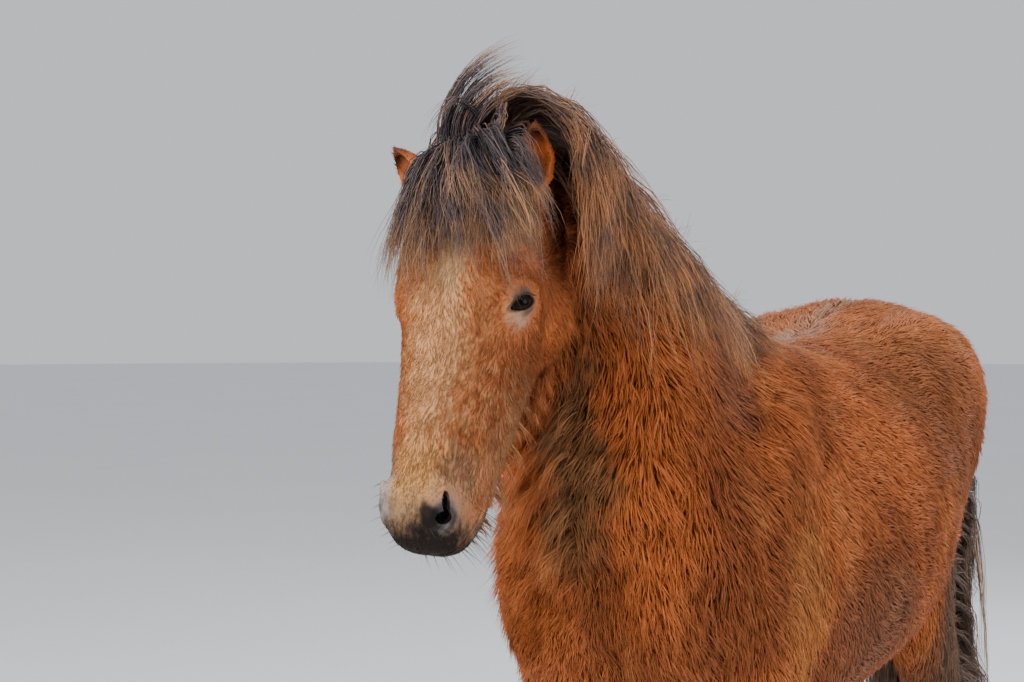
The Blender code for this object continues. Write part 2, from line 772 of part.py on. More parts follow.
def with_locks(obj, locks, kept=LOCKS_KEPT):
    """The object with the locks fused on, each first made on its own in a bmesh."""
    others = []
    for arguments in locks:
        bm = bmesh.new()
        lock(bm, *arguments[0], **arguments[1])
        others.append(placed("lock", bm))
    boolean(obj, others, "UNION")
    if kept == 1:
        return obj
    thin = obj.modifiers.new("thin", "DECIMATE")
    thin.ratio = kept
    return applied(obj)


def mane_locks(lie, draw):
    """The mane: most of it falls on the left, some on the right, and short hair stands along the crest."""
    rows = neck_rows()
    found = []
    for side, count, first_out, longest in ((1, 17, 0.8, 1.0), (-1, 9, 0.7, 0.75), (0, 9, 0.0, 0.36)):
        for k in range(count):
            place = 0.10 + 0.88 * (k + 0.5) / count
            at = place * (len(rows) - 1)
            low = int(at)
            crest = rows[low][0].lerp(rows[min(low + 1, len(rows) - 1)][0], at - low)
            root = crest + Vector((side * 0.012, 0, 0))
            length = MANE * longest * min(1.0, 0.38 + 1.5 * place) * (1.0 - 0.25 * place)
            length *= draw.uniform(0.85, 1.12)
            first = (side * first_out + draw.uniform(-0.15, 0.15), draw.uniform(0.0, 0.4), 0.5)
            pull = (side * 0.18 + draw.uniform(-0.08, 0.08), draw.uniform(0.02, 0.30), -1.0)
            if not side:
                first = (draw.uniform(-0.25, 0.35), draw.uniform(0.2, 0.6), 1.0)
                pull = (draw.uniform(-0.2, 0.4), 0.9, -0.35)
            width = draw.uniform(0.046, 0.058) if side else draw.uniform(0.024, 0.032)
            shape = {"wave": draw.uniform(-0.006, 0.006), "high": draw.uniform(0.008, 0.030) if side else 0.05}
            found.append(((lie, root, first, pull, length, width), shape))
    return found


def forelock_locks(lie, draw):
    """The forelock: it fans over the forehead, and one tuft stands up and is blown to the left."""
    frame = head_frame()
    turn = frame.to_3x3()
    found = []
    for k in range(16):
        share = -1 + 2 * (k + 0.5) / 16
        back = draw.uniform(-0.012, 0.022)
        root = frame @ Vector((back, 0.0, share * 0.040))
        first = turn @ Vector((-0.25, 1.0, share * 0.75))
        pull = turn @ Vector((1.0, 0.05, share * 0.50 + draw.uniform(-0.12, 0.12)))
        length = FORELOCK * (1 - 0.22 * abs(share)) * draw.uniform(0.85, 1.08)
        width = draw.uniform(0.030, 0.040)
        shape = {"wave": draw.uniform(-0.005, 0.005), "bend": 0.5, "high": draw.uniform(0.010, 0.032)}
        found.append(((lie, root, first, pull, length, width), shape))
    for k in range(6):
        root = frame @ Vector((0.0, 0.0, -0.034 + 0.009 * k))
        first = (-0.22 + 0.05 * k, -0.10, 1.0)
        length = 0.185 - 0.012 * k
        found.append(((lie, root, first, TUFT_WIND, length, 0.028), {"bend": 0.30, "sunk": 0.010, "steps": 6}))
    return found


def tail_locks(lie, draw):
    """The tail's long hair from the whole of its dock, hanging almost straight."""
    path = tail_path()
    found = []
    count = 20
    for k in range(count):
        share = (k + 0.5) / count
        at = path[1 + int(share * 0.72 * (len(path) - 2))]
        angle = 2.399 * k
        away = Vector((math.cos(angle), 0.55 * math.sin(angle) + 0.30, 0))
        root = at + away * 0.02
        length = (at.z - TAIL_END) * draw.uniform(0.82, 1.02)
        blown = TAIL_BLOWN * (1 - share)
        first = (away.x * 0.22 + blown, away.y * 0.20, -1.0)
        pull = (away.x * 0.05 + 0.2 * blown, draw.uniform(-0.05, 0.02), -1.0)
        width = draw.uniform(0.036, 0.050)
        found.append(((lie, root, first, pull, length, width), {"bend": 0.8, "wave": draw.uniform(-0.008, 0.008)}))
    return found


def feather_locks(lie, draw, x, y):
    """The long hair behind one fetlock."""
    found = []
    for k in range(6):
        angle = math.radians(-75 + 30 * k)
        away = Vector((math.sin(angle), math.cos(angle), 0))
        root = Vector((x, y, 0.185)) + away * 0.045
        pull = away * 0.10 + Vector((0, 0, -1))
        first = away * 0.4 + Vector((0, 0, -0.9))
        length = draw.uniform(0.080, 0.105)
        shape = {"sunk": 0.010, "steps": 4, "high": 0.016}
        found.append(((lie, root, first, pull, length, 0.028), shape))
    return found


def main():
    for obj in list(bpy.data.objects):
        bpy.data.objects.remove(obj)
    draw = random.Random(SEED)
    bm = bmesh.new()
    skull(bm)
    bmesh.ops.transform(bm, verts=bm.verts, matrix=head_frame())
    trunk(bm)
    neck(bm)
    for side in (1, -1):
        leg(bm, FORELEG, side, STRIDE_FORE * side)
        leg(bm, HINDLEG, side, STRIDE_HIND * side)
    muscles(bm)
    horse = fused(placed("horse", bm), 5, 60, 2200, 3900)

    boolean(horse, [lids(1), lids(-1)] + [nostril(side, 0.005, 0.010) for side in (1, -1)], "UNION")
    hollows = [shape for side in (1, -1) for shape in (eyeball(side, GAP), eye_opening(side), nostril(side, -0.001, 0.018))]
    boolean(horse, hollows + [mouth_line()], "DIFFERENCE")

    to_world = head_frame()
    head_planes = [(to_world @ Vector(p), to_world.to_3x3() @ Vector(n)) for p, n in HEAD_CUT]
    nodes = {}
    nodes["head"] = boolean(copied(horse, "head"), [region(head_planes)], "INTERSECT")
    nodes["neck"] = boolean(copied(horse, "neck"), [half_space(*NECK_CUT)], "INTERSECT")
    boolean(nodes["neck"], [region(head_planes, GAP)], "DIFFERENCE")
    cuts = [half_space(*NECK_CUT, GAP)]
    for side, word in SIDES:
        for name, planes, knee, coronet, stride in LEG_CUTS:
            planes = mirrored(planes, side)
            cuts.append(region(planes, GAP))
            limb = boolean(copied(horse, f"{name}_{word}"), [region(planes)], "INTERSECT")
            cannon = copied(limb, f"{name}_cannon_{word}")
            boolean(limb, [half_space(*knee, GAP)], "DIFFERENCE")
            foot_y = coronet - side * stride * (1 - 0.05 / 1.1)
            sole_cut = half_space((0, foot_y, CORONET), (0, 0.35, 1), GAP)
            boolean(cannon, [half_space(*knee)], "INTERSECT")
            boolean(cannon, [sole_cut], "DIFFERENCE")
            nodes[limb.name] = limb
            nodes[cannon.name] = cannon
            foot_x = side * (0.140 if name == "foreleg" else 0.145)
            hooved = hoof(foot_x, foot_y)
            hooved.name = f"{name}_hoof_{word}"
            nodes[hooved.name] = hooved
            lie = Lie([cannon, hooved])
            with_locks(cannon, feather_locks(lie, draw, foot_x, foot_y + FETLOCK_BACK))
            boolean(cannon, [swollen(hooved)], "DIFFERENCE")
    nodes["torso"] = boolean(copied(horse, "torso"), cuts, "DIFFERENCE")
    for side, word in SIDES:
        nodes[f"eye_{word}"] = eyeball(side)
        nodes[f"ear_{word}"] = boolean(ear(side), [swollen(horse)], "DIFFERENCE")
    tail = boolean(tail_core(), [swollen(horse)], "DIFFERENCE")
    with_locks(tail, tail_locks(Lie([horse, tail]), random.Random(TAIL_SEED)), 1)
    nodes["tail"] = boolean(tail, [swollen(horse, 0.001)], "DIFFERENCE")

    ears = [nodes[f"ear_{word}"] for _, word in SIDES]
    with_locks(nodes["neck"], mane_locks(Lie([horse] + ears), draw))
    others = [swollen(nodes[name], 0.001) for name in ("torso", "head", "ear_left", "ear_right")]
    boolean(nodes["neck"], others, "DIFFERENCE")
    with_locks(nodes["head"], forelock_locks(Lie([horse] + ears), draw))
    others = [swollen(nodes[name], 0.0007) for name in ("ear_left", "ear_right", "eye_left", "eye_right")]
    boolean(nodes["head"], others + [swollen(nodes["neck"], 0.0005)], "DIFFERENCE")
    removed(horse)

    corners = [obj.matrix_world @ Vector(c) for obj in nodes.values() for c in obj.bound_box]
    low = Vector([min(c[k] for c in corners) for k in range(3)])
    high = Vector([max(c[k] for c in corners) for k in range(3)])
    to_origin = Matrix.Translation((-(low.x + high.x) / 2, -(low.y + high.y) / 2, 0))
    for name, obj in nodes.items():
        obj.name = name
        parted(obj).data.transform(to_origin)
        colour, roughness = COLOURS[next(key for key in COLOURS if key in name)]
        shaded(obj, colour, roughness)


main()
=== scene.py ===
"""The looks of a life-size Icelandic horse in its winter coat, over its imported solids.

One skin stands for all the nodes of flesh. Its coat is solid tufts that lie along the body, and the mane, forelock,
tail and feathers are solid strands. Eyes and hooves are pieces of their own. Metres, +Z up, the horse looks along -Y.
"""

import json
import math
import random

import bmesh
import bpy
import numpy as np
from bpy.props import FloatProperty, FloatVectorProperty, IntProperty, PointerProperty
from mathutils import Matrix, Vector
from mathutils.bvhtree import BVHTree

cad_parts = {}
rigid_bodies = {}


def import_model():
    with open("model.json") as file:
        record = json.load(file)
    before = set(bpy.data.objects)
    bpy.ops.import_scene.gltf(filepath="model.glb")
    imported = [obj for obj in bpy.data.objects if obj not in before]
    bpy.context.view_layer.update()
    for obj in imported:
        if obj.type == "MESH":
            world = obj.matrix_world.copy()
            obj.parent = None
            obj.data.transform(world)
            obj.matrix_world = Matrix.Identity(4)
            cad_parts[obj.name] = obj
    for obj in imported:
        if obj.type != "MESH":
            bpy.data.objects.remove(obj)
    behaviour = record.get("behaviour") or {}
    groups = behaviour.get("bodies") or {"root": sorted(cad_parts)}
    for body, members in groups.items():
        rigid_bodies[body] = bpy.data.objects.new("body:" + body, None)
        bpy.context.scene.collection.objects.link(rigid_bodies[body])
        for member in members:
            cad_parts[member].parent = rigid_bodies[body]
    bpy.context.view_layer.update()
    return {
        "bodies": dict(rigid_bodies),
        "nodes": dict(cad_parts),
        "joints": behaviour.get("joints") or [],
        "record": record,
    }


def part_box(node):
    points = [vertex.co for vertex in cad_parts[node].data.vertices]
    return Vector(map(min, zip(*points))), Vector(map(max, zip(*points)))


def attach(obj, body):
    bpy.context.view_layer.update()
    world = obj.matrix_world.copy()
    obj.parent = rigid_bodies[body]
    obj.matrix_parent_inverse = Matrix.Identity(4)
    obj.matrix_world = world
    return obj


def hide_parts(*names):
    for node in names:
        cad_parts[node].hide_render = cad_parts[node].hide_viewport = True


bl_info = {
    "name": "Icelandic horse",
    "version": (1, 0, 0),
    "blender": (4, 5, 0),
    "location": "View3D > Sidebar > Horse",
    "description": "Builds the skin, coat, mane, tail, eyes and hooves of a standing Icelandic horse",
    "category": "Object",
}

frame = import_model()

# Driving dimensions, coat included
WITHERS = 1.38
LENGTH = 1.44
BARREL = 0.60
HEAD = 0.57
EAR = 0.112
EYE = 0.0215
MANE = 0.30
FORELOCK = 0.20
TAIL_END = 0.16

# Where the head is held: its poll, then the turn to the left, the slope of the face and the tilt
POLL = Vector((-0.085, -0.921, 1.576))
HEAD_YAW = math.radians(-6.5)
HEAD_PITCH = math.radians(72.4)
HEAD_ROLL = math.radians(-2)

GAP = 0.0003
RING_SIDES = 40
VOXEL = 0.0048

# Side-view sections of the trunk: place along the body from its middle in LENGTH, top and bottom height in WITHERS,
# half width in BARREL, how far down the widest place lies
TRUNK = {
    "breast": (-0.497, 0.770, 0.640, 0.17, 0.0),
    "shoulder_point": (-0.452, 0.900, 0.545, 0.33, 0.1),
    "shoulder": (-0.360, 0.930, 0.490, 0.395, 0.15),
    "withers": (-0.235, 0.966, 0.472, 0.425, 0.20),
    "girth": (-0.130, 0.953, 0.468, 0.465, 0.16),
    "back": (-0.020, 0.940, 0.470, 0.495, 0.10),
    "belly": (0.090, 0.948, 0.480, 0.500, 0.06),
    "loin": (0.180, 0.970, 0.510, 0.475, 0.0),
    "hip": (0.255, 0.991, 0.560, 0.450, -0.1),
    "croup": (0.335, 0.994, 0.610, 0.430, -0.1),
    "thurl": (0.415, 0.934, 0.660, 0.370, 0.0),
    "tail_head": (0.470, 0.860, 0.710, 0.280, 0.0),
    "seat": (0.497, 0.800, 0.760, 0.120, 0.0),
}

# Neck sections: crest (y, z), underline (y, z), half width
NECK = (
    (-0.20, 1.265, -0.400, 0.800, 0.165),
    (-0.32, 1.325, -0.620, 0.860, 0.172),
    (-0.43, 1.380, -0.720, 0.985, 0.172),
    (-0.54, 1.438, -0.744, 1.100, 0.160),
    (-0.65, 1.498, -0.734, 1.212, 0.130),
    (-0.75, 1.548, -0.722, 1.305, 0.105),
    (-0.84, 1.585, -0.735, 1.375, 0.088),
    (-0.91, 1.586, -0.790, 1.405, 0.076),
)

# Leg sections: height, front (y), back (y), middle (x), half width
FORELEG = {
    "shoulder": (1.08, -0.66, -0.30, 0.150, 0.070),
    "arm": (0.93, -0.635, -0.315, 0.158, 0.085),
    "elbow": (0.80, -0.590, -0.355, 0.156, 0.084),
    "forearm": (0.68, -0.567, -0.403, 0.150, 0.068),
    "low_forearm": (0.54, -0.548, -0.427, 0.146, 0.055),
    "above_knee": (0.46, -0.546, -0.434, 0.143, 0.052),
    "knee": (0.41, -0.549, -0.433, 0.142, 0.056),
    "below_knee": (0.35, -0.534, -0.438, 0.141, 0.046),
    "cannon": (0.27, -0.526, -0.436, 0.140, 0.040),
    "low_cannon": (0.20, -0.530, -0.430, 0.140, 0.044),
    "fetlock": (0.155, -0.542, -0.424, 0.140, 0.049),
    "pastern": (0.105, -0.566, -0.466, 0.140, 0.044),
    "coronet": (0.060, -0.594, -0.472, 0.140, 0.053),
    "in_hoof": (0.020, -0.584, -0.480, 0.140, 0.044),
}
HINDLEG = {
    "hip": (1.17, 0.32, 0.640, 0.120, 0.075),
    "thigh": (1.05, 0.24, 0.678, 0.128, 0.102),
    "low_thigh": (0.92, 0.235, 0.650, 0.122, 0.078),
    "stifle": (0.82, 0.268, 0.612, 0.126, 0.070),
    "gaskin": (0.72, 0.342, 0.600, 0.130, 0.062),
    "low_gaskin": (0.62, 0.432, 0.626, 0.134, 0.055),
    "above_hock": (0.545, 0.502, 0.665, 0.140, 0.049),
    "hock": (0.48, 0.527, 0.667, 0.142, 0.053),
    "below_hock": (0.41, 0.545, 0.651, 0.143, 0.047),
    "cannon": (0.31, 0.549, 0.641, 0.145, 0.041),
    "low_cannon": (0.20, 0.545, 0.643, 0.145, 0.045),
    "fetlock": (0.155, 0.533, 0.648, 0.145, 0.050),
    "pastern": (0.105, 0.509, 0.605, 0.145, 0.045),
    "coronet": (0.060, 0.483, 0.603, 0.145, 0.054),
    "in_hoof": (0.020, 0.497, 0.593, 0.145, 0.044),
}

# Head sections in HEAD: along from the poll, front line, underside, half width, widest place
SKULL = {
    "nape": (-0.060, -0.060, -0.200, 0.100, 0.0),
    "poll": (0.010, -0.005, -0.340, 0.145, 0.0),
    "forehead": (0.130, 0.030, -0.415, 0.173, -0.25),
    "brow": (0.260, 0.036, -0.440, 0.183, -0.35),
    "eyes": (0.350, 0.024, -0.430, 0.180, -0.35),
    "cheek": (0.470, 0.004, -0.398, 0.154, -0.25),
    "nose_bone": (0.600, -0.012, -0.343, 0.142, -0.15),
    "bars": (0.720, -0.020, -0.302, 0.134, -0.05),
    "nostrils": (0.830, -0.026, -0.276, 0.118, 0.05),
    "lips": (0.910, -0.042, -0.250, 0.104, 0.05),
    "lip_front": (0.955, -0.070, -0.218, 0.082, 0.0),
    "lip_end": (0.973, -0.100, -0.180, 0.045, 0.0),
}

# Places on the head in HEAD, for the left side: along, out, to the side
EYE_AT = (0.354, -0.104, 0.158)
NOSTRIL_AT = (0.868, -0.068, 0.088)
EAR_AT = (0.105, -0.080, 0.172)
# The way each ear points, the left at 1: back along the face, out of the forehead, to its own side
EAR_TILT = {1: (-1.0, 0.42, 0.04), -1: (-1.0, 0.08, 0.76)}

# The lids' half opening seen from the eye's middle, their thickness, the nostril's half sizes and the mouth's line in HEAD
LID_LONG = math.radians(62)
LID_HIGH = math.radians(28)
LID_STEPS = 40
LID = 0.0032
# A nostril's two forms: how far each lies down and aside of its middle, and its half sizes
NOSTRIL_FORMS = (((0.0105, 0.0080), (0.0118, 0.0142)), ((-0.0068, 0.0038), (0.0200, 0.0066)))
MOUTH = (
    (0.845, -0.186, 0.098),
    (0.875, -0.176, 0.098),
    (0.905, -0.163, 0.092),
    (0.940, -0.149, 0.069),
    (0.963, -0.143, 0.034),
    (0.970, -0.141, 0.0),
)
MOUTH_GAP = 0.0034

# An ear in EAR: how its base is drawn back and in, then sections up from the base with half width and half depth;
# those of the cup also say how far it lies ahead of the ear's middle
EAR_TUCK = (0.02, 0.09)
EAR_CUP = (
    (0.10, 0.06, 0.08, 0.20),
    (0.30, 0.18, 0.18, 0.15),
    (0.56, 0.20, 0.15, 0.115),
    (0.78, 0.13, 0.10, 0.08),
    (0.90, 0.05, 0.05, 0.05),
)
EAR_SHAPE = (
    (-0.25, 0.19, 0.20),
    (0.05, 0.24, 0.25),
    (0.32, 0.28, 0.23),
    (0.58, 0.25, 0.18),
    (0.80, 0.17, 0.12),
    (0.93, 0.09, 0.07),
    (1.00, 0.03, 0.03),
)

# A hoof's sections: height, half width, how far it reaches forward and back of its middle
HOOF = ((0.0, 0.058, 0.066, 0.048), (0.030, 0.055, 0.060, 0.048), (0.0597, 0.050, 0.054, 0.048))
CORONET = 0.06
FETLOCK_BACK = 0.045

# The tail's core: middle (x, y, z), half width, half depth
TAIL_CORE = (
    (0, 0.640, 1.215, 0.045, 0.036),
    (0, 0.695, 1.190, 0.046, 0.040),
    (0.014, 0.724, 1.120, 0.040, 0.038),
    (0.050, 0.732, 1.010, 0.038, 0.038),
    (0.088, 0.730, 0.880, 0.034, 0.036),
    (0.104, 0.722, 0.740, 0.026, 0.028),
)
TUFT_WIND = (0.95, 0.50, -0.10)
TAIL_BLOWN = 0.62

# How far the feet stand from square, the left ones forward
STRIDE_FORE = 0.03
STRIDE_HIND = -0.04
SIDES = ((1, "left"), (-1, "right"))


def smooth_rows(rows, per_gap=3):
    """Rows of numbers with more rows between them, on a curve through them."""
    rows = np.array([tuple(row) for row in rows], float)
    padded = np.vstack([2 * rows[0] - rows[1], rows, 2 * rows[-1] - rows[-2]])
    found = []
    for k in range(len(rows) - 1):
        a, b, c, d = padded[k : k + 4]
        for t in np.arange(per_gap) / per_gap:
            found.append(
                b + 0.5 * t * (c - a + t * (2 * a - 5 * b + 4 * c - d + t * (3 * b - a - 3 * c + d)))
            )
    return np.array(found + [rows[-1]])


def oval(upper, lower, half_width, side, widest=0.0, power=0.92):
    """A ring between two points of an outline. Its widest place lies a share `widest` towards the lower one."""
    upper, lower = Vector(upper), Vector(lower)
    centre = (upper + lower) / 2
    reach = (upper - lower) / 2
    points = []
    for k in range(RING_SIDES):
        angle = 2 * math.pi * k / RING_SIDES
        c, s = math.cos(angle), math.sin(angle)
        across = math.copysign(abs(s) ** power, s) * half_width
        points.append(centre + reach * (c - widest * s * s) + side * across)
    return points


def loft(bm, rings):
    """A closed skin over the rings."""
    loops = []
    for points in rings:
        verts = [bm.verts.new(p) for p in points]
        loops.append((verts, [bm.edges.new((verts[k - 1], v)) for k, v in enumerate(verts)]))
    for (_, first), (_, second) in zip(loops, loops[1:]):
        bmesh.ops.bridge_loops(bm, edges=first + second)
    for verts in (loops[0][0], loops[-1][0]):
        bm.faces.new(verts)


def ball(bm, centre, radii, turn=None, fine=3):
    """An ellipsoid, its radii along X, Y and Z before the turn."""
    place = Matrix.Translation(Vector(centre)) @ (turn or Matrix()) @ Matrix.Diagonal((*radii, 1))
    bmesh.ops.create_icosphere(bm, subdivisions=fine, radius=1, matrix=place)


def lean(pitch=0.0, yaw=0.0, roll=0.0):
    """A turn in degrees: pitch about X, then roll about Y, then yaw about Z."""
    turns = ((yaw, "Z"), (roll, "Y"), (pitch, "X"))
    whole = Matrix()
    for angle, axis in turns:
        whole = whole @ Matrix.Rotation(math.radians(angle), 4, axis)
    return whole


def trunk(bm):
    rings = []
    for along, top, bottom, half, widest in smooth_rows(TRUNK.values()):
        y = along * LENGTH
        ring = oval((0, y, top * WITHERS), (0, y, bottom * WITHERS), half * BARREL, Vector((1, 0, 0)), widest)
        rings.append(ring)
    loft(bm, rings)


def neck_rows():
    """The neck's sections with the bend to the right that brings it to the poll."""
    rows = smooth_rows(NECK)
    shift = np.linspace(0, 1, len(rows)) ** 1.8 * POLL.x
    return [(Vector((x, cy, cz)), Vector((x, uy, uz)), half) for (cy, cz, uy, uz, half), x in zip(rows, shift)]


def neck(bm):
    loft(bm, [oval(crest, under, half, Vector((1, 0, 0)), 0.25, 0.9) for crest, under, half in neck_rows()])


def leg(bm, sections, side, stride):
    """One leg, `side` 1 on the left and -1 on the right, its foot `stride` forward of square."""
    rows = smooth_rows(sections.values())
    top = rows[0][0]
    rings = []
    for z, front, back, x, half in rows:
        swing = stride * (1 - z / top)
        middle = side * x
        rings.append(oval((middle, front - swing, z), (middle, back - swing, z), half, Vector((side, 0, 0))))
    loft(bm, rings)


def muscles(bm):
    """The masses that stand out under the coat, on both sides."""
    for side in (1, -1):
        ball(bm, (side * 0.132, 0.380, 1.165), (0.145, 0.275, 0.185), lean(pitch=6))
        ball(bm, (side * 0.118, 0.520, 1.05), (0.102, 0.145, 0.190), lean(pitch=-14))
        ball(bm, (side * 0.140, -0.44, 0.99), (0.092, 0.17, 0.26), lean(pitch=-28, roll=side * 6))
        ball(bm, (side * 0.165, -0.39, 0.90), (0.088, 0.165, 0.155), lean(pitch=-20))
        ball(bm, (side * 0.090, -0.615, 0.925), (0.100, 0.105, 0.160), lean(pitch=-10))


def head_frame():
    """The head's own frame at the poll: X along the face to the nose, Y out of the forehead, Z to the left."""
    ahead = Vector((math.sin(HEAD_YAW), -math.cos(HEAD_YAW), 0))
    left = Vector((math.cos(HEAD_YAW), math.sin(HEAD_YAW), 0))
    up = Vector((0, 0, 1))
    along = ahead * math.cos(HEAD_PITCH) - up * math.sin(HEAD_PITCH)
    out = ahead * math.sin(HEAD_PITCH) + up * math.cos(HEAD_PITCH)
    tilted_left = left * math.cos(HEAD_ROLL) + out * math.sin(HEAD_ROLL)
    tilted_out = out * math.cos(HEAD_ROLL) - left * math.sin(HEAD_ROLL)
    frame = Matrix((along, tilted_out, tilted_left)).transposed().to_4x4()
    frame.translation = POLL
    return frame


def on_head(place, side=1):
    """A place on the head, from its share of HEAD, in the head's own frame."""
    along, out, across = place
    return Vector((along, out, side * across)) * HEAD


def skull(bm):
    rings = []
    rows = smooth_rows(SKULL.values())
    for along, front, under, half, widest in rows:
        upper, lower = (along * HEAD, front * HEAD, 0), (along * HEAD, under * HEAD, 0)
        rings.append(oval(upper, lower, half * HEAD, Vector((0, 0, 1)), widest, 0.86))
    loft(bm, rings)
    for side in (1, -1):
        ball(bm, (0.196, -0.048, side * 0.070), (0.052, 0.040, 0.042))
        ball(bm, (0.180, -0.150, side * 0.050), (0.095, 0.095, 0.044))
        ball(bm, (0.290, -0.080, side * 0.044), (0.105, 0.022, 0.026))
        ball(bm, (0.492, -0.050, side * 0.036), (0.044, 0.038, 0.027))
        ball(bm, (0.030, -0.040, side * 0.060), (0.055, 0.045, 0.034))
    ball(bm, (0.300, -0.024, 0), (0.150, 0.022, 0.036))
    ball(bm, (0.522, -0.066, 0), (0.037, 0.044, 0.053))
    ball(bm, (0.506, -0.118, 0), (0.040, 0.024, 0.040))


def placed(name, bm):
    """A mesh object of what the bmesh holds."""
    bmesh.ops.recalc_face_normals(bm, faces=bm.faces)
    mesh = bpy.data.meshes.new(name)
    bm.to_mesh(mesh)
    bm.free()
    obj = bpy.data.objects.new(name, mesh)
    bpy.context.scene.collection.objects.link(obj)
    return obj


def applied(obj):
    """The object with its modifiers turned into its mesh."""
    graph = bpy.context.evaluated_depsgraph_get()
    mesh = bpy.data.meshes.new_from_object(obj.evaluated_get(graph))
    obj.modifiers.clear()
    old = obj.data
    obj.data = mesh
    bpy.data.meshes.remove(old)
    return obj


def removed(*objects):
    for obj in objects:
        mesh = obj.data
        bpy.data.objects.remove(obj)
        bpy.data.meshes.remove(mesh)


def largest(obj):
    """Keeps only the largest closed surface, which also fills a hollow that fusing seals."""
    bm = bmesh.new()
    bm.from_mesh(obj.data)
    bmesh.ops.triangulate(bm, faces=bm.faces)
    left = set(bm.faces)
    shells = []
    while left:
        start = left.pop()
        shell, edge_of = {start}, [start]
        while edge_of:
            for edge in edge_of.pop().edges:
                for face in edge.link_faces:
                    if face in left:
                        left.remove(face)
                        shell.add(face)
                        edge_of.append(face)
        volume = sum(f.verts[0].co.dot(f.verts[1].co.cross(f.verts[2].co)) for f in shell) / 6
        shells.append((volume, shell))
    best = max(shells, key=lambda item: item[0])[1]
    bmesh.ops.delete(bm, geom=[f for f in bm.faces if f not in best], context="FACES")
    bm.to_mesh(obj.data)
    bm.free()
    return obj


def boolean(obj, others, operation):
    """One Boolean with a collection of closed objects, which are then removed."""
    group = bpy.data.collections.new("cutters")
    for other in others:
        group.objects.link(other)
    step = obj.modifiers.new(operation.lower(), "BOOLEAN")
    step.operand_type = "COLLECTION"
    step.collection = group
    step.operation = operation
    step.solver = "MANIFOLD"
    applied(obj)
    bpy.data.collections.remove(group)
    removed(*others)
    return largest(obj)


def behind_head(point):
    """0 on the head and 1 on the body, with a short change where the throat is."""
    along, out, _ = head_frame().inverted() @ point
    return min(1.0, max(0.0, (-0.10 - out - 0.45 * along) / 0.08))


def fused(obj, head_rounds, body_rounds, head_triangles, body_triangles):
    """The overlapping forms of obj as one closed skin, smoothed and thinned less on the head than on the body."""
    remesh = obj.modifiers.new("remesh", "REMESH")
    remesh.mode = "VOXEL"
    remesh.voxel_size = VOXEL
    applied(obj)
    body = obj.vertex_groups.new(name="body")
    thick = obj.vertex_groups.new(name="thick")
    for v in obj.data.vertices:
        share = behind_head(v.co)
        if share > 0:
            body.add([v.index], round(share), "REPLACE")
            thick.add([v.index], share * min(1.0, max(0.22, (v.co.z - 0.62) / 0.25)), "REPLACE")
    for name, rounds in (("", head_rounds), ("thick", body_rounds)):
        step = obj.modifiers.new("smooth", "SMOOTH")
        step.factor = 0.5
        step.iterations = rounds
        step.vertex_group = name
    applied(obj)
    for on_body, triangles in ((True, body_triangles), (False, head_triangles)):
        ours = theirs = 0
        for face in obj.data.polygons:
            if (behind_head(face.center) > 0.5) == on_body:
                ours += face.loop_total - 2
            else:
                theirs += face.loop_total - 2
        thin = obj.modifiers.new("thin", "DECIMATE")
        thin.ratio = min(1.0, (theirs + triangles) / (theirs + ours))
        thin.vertex_group = "body"
        thin.invert_vertex_group = not on_body
        applied(obj)
    return obj


def ring_tube(bm, points, radius, sides=6):
    """A closed tube round a closed path."""
    loops = []
    count = len(points)
    middle = sum(points, Vector()) / count
    for k, point in enumerate(points):
        along = (points[(k + 1) % count] - points[k - 1]).normalized()
        out = (point - middle).normalized()
        up = along.cross(out).normalized()
        out = up.cross(along)
        turn = [2 * math.pi * j / sides for j in range(sides)]
        loops.append([bm.verts.new(point + (out * math.cos(t) + up * math.sin(t)) * radius) for t in turn])
    for k, second in enumerate(loops):
        first = loops[k - 1]
        for j in range(sides):
            bm.faces.new((first[j - 1], first[j], second[j], second[j - 1]))


def eye_axes(side):
    """The eye's outward look, and the line from its outer to its inner corner, in the head's frame."""
    look = Vector((0.02, 0.56, 0.83 * side)).normalized()
    slit = Vector((0.64, 0.61, -0.46 * side))
    slit = (slit - look * slit.dot(look)).normalized()
    return look, slit


def eyeball(side, grow=0.0):
    bm = bmesh.new()
    ball(bm, on_head(EYE_AT, side), [EYE + grow] * 3, fine=2)
    bmesh.ops.transform(bm, verts=bm.verts, matrix=head_frame())
    return placed("eyeball", bm)


def eye_edge(side, wide=1.0):
    """Directions from the eye's middle to the edge of its opening, an almond that is pointed at the inner corner."""
    look, slit = eye_axes(side)
    rise = look.cross(slit)
    found = []
    for k in range(LID_STEPS):
        angle = 2 * math.pi * k / LID_STEPS
        c, s = math.cos(angle), math.sin(angle)
        high = LID_HIGH * s * (1 - 0.35 * max(0.0, c) ** 2)
        tilt = math.hypot(LID_LONG * c, high)
        spread = (slit * LID_LONG * c + rise * high) / tilt
        found.append(look * math.cos(tilt * wide) + spread * math.sin(tilt * wide))
    return found


def lids(side):
    """The thick edge round the eye."""
    points = [on_head(EYE_AT, side) + way * (EYE + 0.0015) for way in eye_edge(side)]
    bm = bmesh.new()
    ring_tube(bm, points, LID, 10)
    bmesh.ops.transform(bm, verts=bm.verts, matrix=head_frame())
    return placed("lids", bm)


def eye_opening(side):
    """The cone that opens the lids in front of the eye."""
    bm = bmesh.new()
    middle = on_head(EYE_AT, side)
    loft(bm, [[middle + way * EYE * far for way in eye_edge(side, 0.90)] for far in (0.5, 1.9)])
    bmesh.ops.transform(bm, verts=bm.verts, matrix=head_frame())
    return placed("eye_opening", bm)


